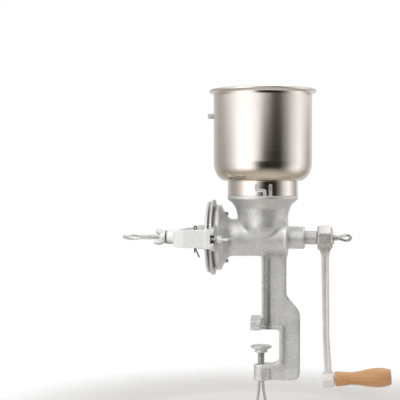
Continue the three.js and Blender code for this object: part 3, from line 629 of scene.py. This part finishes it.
def hopper():
    """The bowl: a straight wall, an elliptical corner, a rolled rim and a short neck inside the collar."""
    wide, tall = high("hopper_bowl").x - 6, high("hopper_bowl").z
    floor = low("hopper_bowl").z
    corner_wide, corner_high, steps = 17.5, 25, 20

    def wall(inset):
        line = []
        for i in range(steps + 1):
            a = (i / steps) * (math.pi / 2)
            across = wide - corner_wide + (corner_wide - inset) * math.sin(a)
            line.append((across, floor + corner_high - (corner_high - inset) * math.cos(a)))
        return line

    bead = 2.0
    curl = [
        (wide + 4 + bead * math.cos(a), tall - bead + bead * math.sin(a))
        for a in (math.radians(d) for d in range(-110, 121, 12))
    ]
    neck = high("hopper_collar").x - 1.4
    profile = [
        (neck, floor - 5.5), (neck, floor + 0.4), *wall(0), (wide, tall - 9),
        (wide + 0.5, tall - 6), (wide + 1.9, tall - 4.2), *curl, (wide + 1.4, tall - 1.4),
        (wide - 0.5, tall - 3.6), (wide - SHEET, tall - 8), *wall(SHEET)[::-1],
        (neck - 0.2, floor + 1.4), (neck - 1, floor + 0.6), (neck - 1, floor - 5.5), (neck, floor - 5.5),
    ]
    piece("hopper_bowl", turned(profile, "z", (0, 0), 192), BOWL_STEEL, 30)


def hopper_collar():
    """The ring that sits on the cup, with a J-shaped slot and a straight one, both with raised lips."""
    outside, inside = high("hopper_collar").x, high("hopper_collar").x - SHEET
    base, top = low("hopper_collar").z, high("hopper_collar").z
    ring = rounded([(inside, base), (outside, base, 0.4), (outside, top, 0.3), (inside, top)], loop=True)
    foot, tip, width = 7, -7, 3
    slit_top, bend = base + 15.2, base + 8.7
    hook = [
        (foot, bend, 3.5), (tip + width, bend, 1), (tip + width, slit_top, 1.4), (tip, slit_top, 1.4),
        (tip, bend - width, 3.5), (foot - width, bend - width, 1),
    ]
    pin, half = middle("hopper_guide_pin").x + PIN_LEAN, 1.7
    slit = [(pin + half, slit_top, 1.4), (pin - half, slit_top, 1.4)]
    slots, lips = [], []
    for shape, right, left, lip in ((hook, foot, foot - width, 0.6), (slit, pin + half, pin - half, 0.4)):
        slots.append(extruded(rounded([(right, base - 2), *shape, (left, base - 2)]), -outside - 5, -20))
        line = rounded([(right, base + 0.5), *shape, (left, base + 0.5)])
        route = [Vector((x, -math.sqrt(outside ** 2 - x ** 2) + 0.2, z)) for x, z in line]
        lips.append(swept(route, lip, 12))
    piece("hopper_collar", cut(turned(ring, "z", (0, 0), 192), *slots), COLLAR_STEEL, 30)
    # Painted highlight: the lips get a near-white matte steel.
    piece("hopper_collar", joined(*lips), LIP_HIGHLIGHT_STEEL, 60, "hopper_collar_slot_lips")


def hopper_lug():
    """A strap on edge, bent round into an eye, its two ends spot-welded to the bowl."""
    left, right, wide = low("hopper_lug").x, high("hopper_lug").x + 0.3, high("hopper_lug").y
    thick, bend = 1.1, 2.4

    def bent(inset):
        half, radius = wide - inset, bend - inset
        centre = left + bend
        corner = [math.radians(a) for a in range(180, 271, 15)]
        near = [(centre + radius * math.cos(a), bend - wide + radius * math.sin(a)) for a in corner]
        far = [(x, -y) for x, y in near]
        return [(right, half), *far[::-1], *near, (right, -half)]

    strap = extruded(bent(0) + bent(thick)[::-1], low("hopper_lug").z, high("hopper_lug").z, "xy")
    edge = ("BEVEL", {"width": 0.22 * MM, "segments": 3, "limit_method": "ANGLE", "angle_limit": 0.6})
    piece("hopper_lug", applied(strap, edge), STRAP_STEEL)


def guide_pin():
    """A round pin that points outward from the cup's spigot, through the collar's straight slot."""
    radius = (high("hopper_guide_pin").z - low("hopper_guide_pin").z) / 2
    length, root, crossing = 6.9, 41.5, 12.8
    profile = rounded([(0, 0), (radius, 0, 0.4), (radius, length, 0.5), (0, length)])
    mesh = turned(profile, "x", (0, 0), 40)
    outward = -math.acos(crossing / high("hopper_collar").x)
    place = shift(root * math.cos(outward), root * math.sin(outward), middle("hopper_guide_pin").z)
    piece("hopper_guide_pin", moved(mesh, place @ turn(math.degrees(outward), "Z")), ZINC)


def feed_flight():
    """The feed screw's flight: a rib that winds along the shaft towards the burrs."""
    start, end, pitch, reach = -42.0, 27.5, 27.0, 19.5
    first_turn = math.pi / 2 + math.pi * 4.5 / pitch
    side = [(7.5, 2.9), (11, 2.2), (15, 1.8), (reach - 0.5, 1.5), (reach, 1)]
    across = [(r, -off) for r, off in side] + side[::-1]
    steps, count = round((end - start) / pitch * 40), len(across)
    points = []
    for k in range(steps + 1):
        along = k / steps * (end - start)
        a = first_turn - 2 * math.pi * along / pitch
        for r, off in across:
            x = min(max(start + along + off, start), end)
            points.append((x, r * math.sin(a), AXIS_Z - r * math.cos(a)))
    faces = [tuple(range(count)), tuple(range(steps * count, (steps + 1) * count))]
    for k in range(0, steps * count, count):
        for i in range(count):
            j = (i + 1) % count
            faces.append((k + i, k + j, k + count + j, k + count + i))
    return mesh_of(points, faces)


def auger():
    """Shaft and feed screw in one casting, with a square end for the crank."""
    front, back = low("auger").x, high("auger").x
    socket, journal_end = front + 2, 73.2
    outline = [
        (0, socket), (4, socket), (4, front, 0.5), (8, front, 0.8), (8, -56), (9, -52),
        (9, journal_end - 0.6), (8, journal_end), (0, journal_end),
    ]
    shaft = turned(rounded(outline), segments=96)
    square = [(6 * s, 6 * t, 1.0) for s, t in ((-1, -1), (1, -1), (1, 1), (-1, 1))]
    end_block = moved(extruded(rounded(square), 70, back, "yz"), shift(0, 0, AXIS_Z))
    core = smoothed(remeshed(joined(shaft, feed_flight(), end_block), 0.6), 2)
    hole = turned([(0, 72), (3, 72), (3, back + 3), (0, back + 3)], segments=40)
    cross = turned([(0, -14), (2.2, -14), (2.2, 14), (0, 14)], "z", (middle_of_cotter(), 0), 40)
    piece("auger", cut(core, hole, moved(cross, shift(0, 0, AXIS_Z))), BURR_IRON, 45)


def middle_of_cotter():
    return low("cotter_pin").x + 2.8


FINE_TEETH, COARSE_TEETH = 76, 22  # at a burr's rim and nearer its middle
BITE = 0.2  # how far the rim teeth stand past the CAD burr's face, into the gap


def burr_ring(profile, zones):
    """A turned burr with radial teeth, cut towards -X where a zone's depth is negative.

    zones are (first, last, teeth, depth), where first and last count the profile's points.
    """
    segments = FINE_TEETH * 4
    ring = profile[:-1]
    points = []
    for k, (radius, along) in enumerate(ring):
        for i in range(segments):
            x = along
            for first, last, teeth, depth in zones:
                if first <= k <= last:
                    wave = abs(2 * ((teeth * (i + 0.5) / segments) % 1) - 1)
                    x += depth * min(1, max(0, 2 * wave - 0.3))
            angle = 2 * math.pi * i / segments
            points.append((x, radius * math.cos(angle), AXIS_Z + radius * math.sin(angle)))
    faces = []
    for k in range(len(ring)):
        m = (k + 1) % len(ring)
        for i in range(segments):
            j = (i + 1) % segments
            faces.append((k * segments + i, k * segments + j, m * segments + j, m * segments + i))
    return mesh_of(points, faces)


def screw_hole(centre, radius, head, face, start, end):
    """A countersunk hole's tool. The head is at face, and the shank runs to end."""
    way = 1 if end > face else -1
    sink = face + way * (head - radius + 0.6)
    wide, narrow = head + 0.3, radius + 0.3
    profile = [(0, start), (wide, start), (wide, face), (narrow, sink), (narrow, end), (0, end)]
    return turned(profile, "x", centre, 48)


def fixed_burr():
    crest = low("fixed_burr").x
    face = crest + 0.8
    rim, back = high("fixed_burr").y, high("fixed_burr").x
    profile = [
        (21.5, back), (21.5, crest + 2.6), (24, crest + 1.6), (27, crest), (30, crest), (36, crest),
        (38, crest - BITE), (42, crest - BITE), (rim - 0.8, crest - BITE), (rim - 0.2, crest + 0.4),
        (rim, face + 2.2), (rim, face + 2.6), (rim - 0.5, face + 3.3), (47, face + 3.4), (38.6, face + 3.5),
        (37.6, face + 4), (37.5, back), (21.5, back),
    ]
    ring = burr_ring(profile, [(3, 5, COARSE_TEETH, 1.5), (6, 9, FINE_TEETH, 1.9)])
    centres = [(0, middle(f"burr_screw_{side}").z) for side in ("upper", "lower")]
    holes = [screw_hole(centre, 2.4, 4.6, face, crest - 3, back + 3) for centre in centres]
    piece("fixed_burr", cut(ring, *holes), BURR_IRON, 28)


def rotating_burr():
    crest, back = high("rotating_burr").x, low("rotating_burr").x
    face = crest - 0.8
    rim, bore = high("rotating_burr").y, 8.4
    profile = [
        (bore, back), (rim - 1.6, back), (rim - 0.4, back + 0.4), (rim, back + 1.2), (rim, face - 2.5),
        (rim, crest - 0.3), (rim - 0.4, crest + BITE), (44, crest + BITE), (38.5, crest + BITE),
        (36.5, crest), (32, crest), (27, crest), (24.5, face - 1.4), (23.5, face - 1.6),
        (bore, face - 1.6), (bore, back),
    ]
    ring = burr_ring(profile, [(5, 8, FINE_TEETH, -2.1), (9, 11, COARSE_TEETH, -1.6)])
    centres = [(middle(f"carrier_screw_{side}").y, AXIS_Z) for side in ("near", "far")]
    holes = [screw_hole(centre, 2, 3.8, face - 1.6, face + 3, back - 3) for centre in centres]
    piece("rotating_burr", cut(ring, *holes), BURR_IRON, 28)


def flat_screw(node, head, shank, face_at_low, pitch):
    """A slotted countersunk screw along X."""
    start, end, centre = low(node).x, high(node).x, middle(node)
    cone = head - shank
    outline = [
        (0, 0), (head, 0, 0.1), (head, 0.45, 0.2), (shank, 0.45 + cone), (shank, 2.2 + cone), (0, 2.2 + cone),
    ]
    top = turned(rounded(outline), "x", (0, 0), 48)
    slot = extruded([(-1, -0.5), (0.8, -0.5), (0.8, 0.5), (-1, 0.5)], -head - 1, head + 1)
    mesh = joined(cut(top, slot), threaded(shank, 0.6 + cone, end - start, pitch, 0, 0.4, 28))
    if face_at_low:
        place = shift(start, centre.y, centre.z)
    else:
        place = shift(end, centre.y, centre.z) @ turn(180, "Z")
    piece(node, moved(mesh, place), WIRE_STEEL if "burr" in node else ZINC)


def burr_carrier():
    front, back = low("burr_carrier").x, high("burr_carrier").x
    bore, hub, plate = 8.3, 16, 28
    outline = [
        (bore, front), (hub, front, 1.6), (hub, front + 9.5, 2.5),
        (plate, back - 2.6, 0.8), (plate, back, 0.5), (bore, back),
    ]
    mesh = uneven(turned(rounded(outline, loop=True), segments=144), 5, 0.1)
    centres = [(middle(f"carrier_screw_{side}").y, AXIS_Z) for side in ("near", "far")]
    holes = [screw_hole(centre, 2, 2, back, back + 4, front - 4) for centre in centres]
    piece("burr_carrier", cut(mesh, *holes), BURR_IRON, 40)


def cotter_pin():
    """A split pin, its eye above the shaft and one leg bent open below it."""
    x, z, spread, wire = middle_of_cotter(), AXIS_Z, 1.02, 0.92
    path = [
        (x - spread, 0, z - 20.5), (x - spread, 0, z - 8), (x - spread, 0, z + 8.5), (x - 1.8, 0, z + 12.4),
        (x, 0, z + 15), (x + 1.8, 0, z + 12.4), (x + spread, 0, z + 8.5), (x + spread, 0, z - 8),
        (x + spread, 0, z - 17.5), (x + 2.8, 0, z - 22), (x + 5, 0, z - 27),
    ]
    piece("cotter_pin", swept(through(path), wire, 18), DARK)


def thrust_ball():
    radius = 3.5
    arc = [(radius * math.sin(a), -radius * math.cos(a)) for a in (math.pi * i / 24 for i in range(25))]
    ball = turned(arc, "x", (0, 0), 48)
    piece("thrust_ball", moved(ball, shift(*middle("thrust_ball"))), ZINC)


def eye(length, width, wire, neck, shank):
    """A teardrop of wire behind the origin, forged into a neck that meets a shank along +X."""
    half, far = width / 2 - wire, wire - length
    side = [(3, 0.3 * wire), (0, neck), (0.3 * far, 0.62 * half), (0.66 * far, half), (0.9 * far, 0.7 * half)]
    line = [(x, 0, z) for x, z in side] + [(far, 0, 0)] + [(x, 0, -z) for x, z in side[::-1]]
    ring = swept(through(line, 10), wire, 20)
    outline = [(0, -neck * 0.7), (shank * 0.9, -neck * 0.4), (shank, 1.2), (shank, 4), (0, 4)]
    collar = turned(outline, "x", (0, 0), 40)
    return smoothed(remeshed(joined(ring, collar), 0.35), 3)


def eye_screw(node, end, shank, pitch, eye_shape, place, plain=2.0, extra=(), material=WIRE_STEEL):
    """An eye with a shank threaded as far as end. place puts a screw made along +X at its node."""
    length, width, wire, neck = eye_shape
    mesh = joined(eye(length, width, wire, neck, shank), threaded(shank, 1.5, end, pitch, plain), *extra)
    piece(node, moved(mesh, place), material, 40)


def screws():
    """The three eye screws, each eye turned about its screw's own axis."""
    length = 35
    neck = low("adjusting_screw").x + length
    eye_screw(
        "adjusting_screw", high("adjusting_screw").x - neck, 3.6, 1.25, (length, 17, 2.2, 3.3),
        shift(neck, 0, AXIS_Z) @ turn(66, "X"), material=FORGED_STEEL,
    )
    length = 18.5
    neck = high("crank_thumb_screw").x - length
    collar = turned(rounded([(0, 1.6), (4, 1.6, 0.5), (4, 4.8, 0.4), (0, 4.8)]), "x", (0, 0), 48)
    eye_screw(
        "crank_thumb_screw", neck - low("crank_thumb_screw").x, 3, 1.0, (length, 17, 1.9, 1.9),
        shift(neck, 0, AXIS_Z) @ turn(55, "X") @ turn(180, "Z"), extra=(collar,), plain=4.5,
    )
    length = 47
    neck = low("clamp_screw").z + length
    eye_screw(
        "clamp_screw", high("clamp_screw").z - neck, 4.75, 1.5, (length, 19, 1.9, 3),
        shift(middle("clamp_screw").x, 0, neck) @ turn(-90, "Y") @ turn(47, "X"),
    )


def washer(node, bore):
    start, end, centre = low(node).x, high(node).x, middle(node)
    radius, chamfer = high(node).z - centre.z, 0.25
    outline = [(bore, start), (radius, start, chamfer), (radius, end, chamfer), (bore, end)]
    mesh = turned(rounded(outline, loop=True), "x", (centre.y, centre.z), 80)
    piece(node, mesh, DARK if "lock" in node else ZINC)


def hardware():
    """The washers, studs, wing nuts and flat screws."""
    for side in ("near", "far"):
        washer(f"yoke_washer_{side}", 3.1)
        piece(f"yoke_wing_nut_{side}", cast(f"yoke_wing_nut_{side}", 0.35, 3, 0.08, 4), NUT_CASTING, 60)
        node = f"yoke_stud_{side}"
        centre = middle(node)
        stud = threaded(3, low(node).x, high(node).x, 1.0, 0, 0.8)
        piece(node, moved(stud, shift(0, centre.y, centre.z)), ZINC)
        flat_screw(f"carrier_screw_{side}", 3.8, 2, False, 0.7)
    for place in ("upper", "lower"):
        flat_screw(f"burr_screw_{place}", 4.6, 2.4, True, 0.8)
    washer("lock_washer", 3.66)
    washer("crank_washer", 3.3)
    piece("lock_wing_nut", cast("lock_wing_nut", 0.35, 4, 0.1, 4), NUT_CASTING, 60)


def yoke():
    piece("yoke", cast("yoke", 0.6, 6, 0.22, 8), BRIGHT_CASTING, 60)


def crank_arm():
    """The casting, with a core that rounds its web: sections are (height, inner x, outer x, half width)."""
    sections = [(-50, 85, 91.2, 6.7), (-8, 82, 88.4, 7.3), (45, 81, 87.6, 8.0), (85, 80.6, 86.9, 6.6)]
    points = []
    for z, inner, outer, half in sections:
        points += [(inner, -half, z), (outer, -half, z), (outer, half, z), (inner, half, z)]
    faces = [(0, 1, 2, 3), tuple(range(len(points) - 4, len(points)))]
    for k in range(0, len(points) - 4, 4):
        faces += [(k + i, k + (i + 1) % 4, k + 4 + (i + 1) % 4, k + 4 + i) for i in range(4)]
    whole = joined(cad_mesh("crank_arm"), mesh_of(points, faces))
    mesh = uneven(smoothed(remeshed(whole, 0.5), 4), 6, 0.15)
    piece("crank_arm", mesh, ARM_CASTING, 60)


def on_grip_axis(mesh):
    """Puts what is made along X on the grip's own axis, which leans outward a little."""
    joint = next(j for j in frame["joints"] if j["name"] == "handle_spin")
    place = Vector(joint["pos_m"]) / MM
    lean = 3.2
    return moved(mesh, shift(*place) @ turn(-lean, "Y"))


def handle():
    """The grip, its bolt and its washer. start is the gap to the crank's boss."""
    start, length, bore = 1.4, 74, 3.36
    end = start + length
    outside = [
        (9.9, start + 1.2), (9.75, start + 6), (9.0, start + 14), (8.4, start + 20), (8.7, start + 26),
        (10.0, start + 35), (11.5, start + 43), (12.7, start + 52), (12.9, start + 58), (12.5, start + 64),
        (11.3, start + 69.5), (10.2, end - 1.2),
    ]
    curve = [(p.x, p.y) for p in through([(r, x, 0) for r, x in outside], 6)]
    profile = [
        (bore, start), *rounded([(8.6, start), (9.5, start, 0.6), curve[0]])[:-1], *curve,
        *rounded([curve[-1], (9.4, end, 1.0), (6.2, end)], steps=4)[1:-1], (6.4, end), (6.2, end - 0.3),
        (6.2, end - 6), (bore, end - 6), (bore, start),
    ]
    piece("handle_grip", on_grip_axis(turned(profile, "x", (0, 0), 128)), WOOD, 40)
    seat = end - 5.7
    head = rounded([(0, seat), (5.6, seat), (5.6, seat + 2.4, 1.2), (3.4, seat + 3.8, 2), (0, seat + 4)])
    shank = [(0, -14.6), (2.5, -14.6), (3.3, -13.8), (3.3, seat - 0.2), (0, seat - 0.2)]
    slot = extruded([(seat + 2.6, -0.6), (seat + 6, -0.6), (seat + 6, 0.6), (seat + 2.6, 0.6)], -7, 7)
    mesh = joined(cut(turned(head, "x", (0, 0), 64), slot), turned(shank, "x", (0, 0), 64))
    piece("handle_bolt", on_grip_axis(mesh), ZINC)
    ring = rounded([(bore, 0.3), (7.6, 0.3, 0.2), (7.6, 1.1, 0.2), (bore, 1.1)], loop=True)
    piece("handle_washer", on_grip_axis(turned(ring, "x", (0, 0), 80)), ZINC)


def clamp_pad():
    top, base = high("clamp_pad").z, low("clamp_pad").z
    centre = middle("clamp_pad")
    socket, tip = 5.05, high("clamp_screw").z + 0.3
    face, cup = 13.9, 8.5
    outline = [
        (0, top), (face, top, 0.6), (face, top - 2.8, 1.2), (cup, top - 5, 1.5), (cup, base, 0.7),
        (socket, base), (socket, tip), (0, tip),
    ]
    mesh = turned(rounded(outline), "z", (centre.x, centre.y), 96)
    piece("clamp_pad", uneven(mesh, 4, 0.08), CASTING, 40)


mill_body()
hopper()
hopper_collar()
hopper_lug()
guide_pin()
auger()
fixed_burr()
rotating_burr()
burr_carrier()
cotter_pin()
thrust_ball()
screws()
hardware()
yoke()
crank_arm()
handle()
clamp_pad()


# ---------- stage, light and camera ----------
def studio():
    """A round pale floor that fades out towards its edge."""
    radius, thick = 900, 1
    ground = CAD_BOX[0].z / MM - 0.5
    outline = [(r, ground) for r in (0, 200, 500, radius)]
    outline += [(radius, ground - thick), (0, ground - thick)]
    floor = turned(outline, "z", (0, 0), 96)
    s = Shader("floor")
    s.set(Base_Color=(0.74, 0.725, 0.70, 1), Roughness=0.7, Specular_IOR_Level=0.2)
    distance = s.node("ShaderNodeVectorMath", operation="LENGTH")
    s.link(s.where, distance.inputs[0])
    share = s.node("ShaderNodeMapRange")
    for socket, value in (("From Min", 0.2), ("From Max", 0.42)):
        share.inputs[socket].default_value = value
    s.link(distance.outputs["Value"], share.inputs["Value"])
    blend = s.node("ShaderNodeMixShader")
    s.link(share.outputs["Result"], blend.inputs[0])
    s.link(s.surface.outputs[0], blend.inputs[1])
    s.link(s.node("ShaderNodeBsdfTransparent").outputs[0], blend.inputs[2])
    s.link(blend.outputs[0], s.tree.nodes["Material Output"].inputs["Surface"])
    floor.materials.append(s.material)
    thing = bpy.data.objects.new("studio_floor", floor)
    bpy.context.scene.collection.objects.link(thing)


# How bright the studio's walls are at three heights, from -Y as 0 degrees, round by +X as 90 degrees.
UPPER_WALLS = [
    (-180, 0.75), (-145, 0.62), (-120, 0.5), (-100, 0.66), (-76, 1.05), (-50, 1.4), (-25, 1.3), (-1, 1.02),
    (14, 0.6), (26, 0.21), (34, 0.12), (44, 0.15), (62, 0.5), (80, 0.9), (98, 1.1), (115, 1.0), (140, 0.8),
    (180, 0.75),
]
LOWER_WALLS = [
    (-180, 0.75), (-145, 0.65), (-118, 0.42), (-94, 0.46), (-76, 0.75), (-56, 1.35), (-28, 1.6), (-9, 1.3),
    (1, 0.5), (8, 0.05), (14, 0.0), (30, 0.0), (44, 0.02), (60, 0.34), (78, 0.9), (97, 1.25), (116, 0.8),
    (134, 0.45), (160, 0.8), (180, 0.75),
]
LOWEST_WALLS = [
    (-180, 0.75), (-145, 0.65), (-118, 0.42), (-94, 0.46), (-76, 0.75), (-56, 1.35), (-32, 1.6), (-20, 1.15),
    (-10, 0.35), (-2, 0.07), (10, 0.02), (30, 0.03), (46, 0.03), (62, 0.32), (78, 0.9), (97, 1.25),
    (116, 0.8), (134, 0.45), (160, 0.8), (180, 0.75),
]


def surroundings():
    """Soft studio walls under a grey ceiling and over a darker floor. The camera sees plain white."""
    world = bpy.data.worlds.new("studio")
    bpy.context.scene.world = world
    world.use_nodes = True
    tree = world.node_tree
    link = tree.links.new

    def node(kind, **settings):
        made = tree.nodes.new(kind)
        for setting, value in settings.items():
            setattr(made, setting, value)
        return made

    def band(value, start, end, smooth=True):
        """0 at start, 1 at end."""
        made = node("ShaderNodeMapRange", interpolation_type="SMOOTHSTEP" if smooth else "LINEAR")
        made.inputs["From Min"].default_value = start
        made.inputs["From Max"].default_value = end
        link(value, made.inputs["Value"])
        return made.outputs["Result"]

    def mixed(share, a, b):
        made = node("ShaderNodeMix", data_type="RGBA")
        link(share, made.inputs[0])
        for socket, value in ((made.inputs[6], a), (made.inputs[7], b)):
            if isinstance(value, tuple):
                socket.default_value = (*value, 1)
            else:
                link(value, socket)
        return made.outputs[2]

    direction = node("ShaderNodeSeparateXYZ")
    link(node("ShaderNodeTexCoord").outputs["Generated"], direction.inputs[0])
    behind = node("ShaderNodeMath", operation="MULTIPLY")
    behind.inputs[1].default_value = -1
    link(direction.outputs["Y"], behind.inputs[0])
    compass = node("ShaderNodeMath", operation="ARCTAN2")
    link(direction.outputs["X"], compass.inputs[0])
    link(behind.outputs[0], compass.inputs[1])
    around = band(compass.outputs[0], -math.pi, math.pi, smooth=False)
    brightest = max(value for _, value in UPPER_WALLS + LOWER_WALLS + LOWEST_WALLS)

    def walls(stops):
        ramp = node("ShaderNodeValToRGB")
        marks = ramp.color_ramp.elements
        while len(marks) < len(stops):
            marks.new(0.5)
        for mark, (degrees, value) in zip(marks, stops):
            mark.position = degrees / 360 + 0.5
            warmth = max(0.0, 0.12 - 0.12 * value)
            mark.color = [value / brightest * (1 - warmth * share) for share in (0, 0.7, 1.4)] + [1]
        link(around, ramp.inputs["Fac"])
        return ramp.outputs["Color"]

    height = direction.outputs["Z"]  # the sine of the angle above the horizon
    colour = mixed(band(height, 0.04, 0.088, smooth=False), walls(LOWER_WALLS), walls(UPPER_WALLS))
    colour = mixed(band(height, 0.006, 0.018, smooth=False), walls(LOWEST_WALLS), colour)
    colour = mixed(band(height, 0.2, 0.75), colour, (0.58, 0.58, 0.58))
    colour = mixed(band(height, -0.38, -0.78), colour, (0.31, 0.295, 0.265))
    lit = tree.nodes["Background"]
    lit.inputs["Strength"].default_value = brightest
    link(colour, lit.inputs["Color"])
    backdrop = node("ShaderNodeBackground")
    backdrop.inputs["Color"].default_value = (1, 1, 1, 1)
    blend = node("ShaderNodeMixShader")
    link(node("ShaderNodeLightPath").outputs["Is Camera Ray"], blend.inputs[0])
    link(lit.outputs[0], blend.inputs[1])
    link(backdrop.outputs[0], blend.inputs[2])
    link(blend.outputs[0], tree.nodes["World Output"].inputs["Surface"])


def lamp(name, place, size, power):
    """A round area light that points at the mill's middle."""
    light = bpy.data.lights.new(name, "AREA")
    light.shape, light.size, light.energy = "DISK", size, power
    thing = bpy.data.objects.new(name, light)
    thing.location = Vector(place)
    target = Vector((0, 0, 0.12))
    thing.rotation_euler = (target - thing.location).to_track_quat("-Z", "Y").to_euler()
    bpy.context.scene.collection.objects.link(thing)


def camera():
    """A long lens, a little right of the mill's middle and level with the hopper's foot."""
    data = bpy.data.cameras.new("camera")
    data.sensor_width = 36
    data.lens = 95.4
    data.clip_start, data.clip_end = 0.05, 50
    thing = bpy.data.objects.new("camera", data)
    thing.location = (0.086, -1.430, 0.191)
    yaw, pitch = math.radians(6.83), math.radians(-0.7)
    ahead = Vector((-math.sin(yaw) * math.cos(pitch), math.cos(yaw) * math.cos(pitch), math.sin(pitch)))
    thing.rotation_euler = ahead.to_track_quat("-Z", "Y").to_euler()
    bpy.context.scene.collection.objects.link(thing)
    bpy.context.scene.camera = thing


studio()
surroundings()
lamp("key", (-1.1, -1.3, 1.5), 1.0, 7)
lamp("top", (0.3, 0.2, 1.9), 1.2, 5)
camera()
bpy.context.scene.view_settings.view_transform = "Standard"
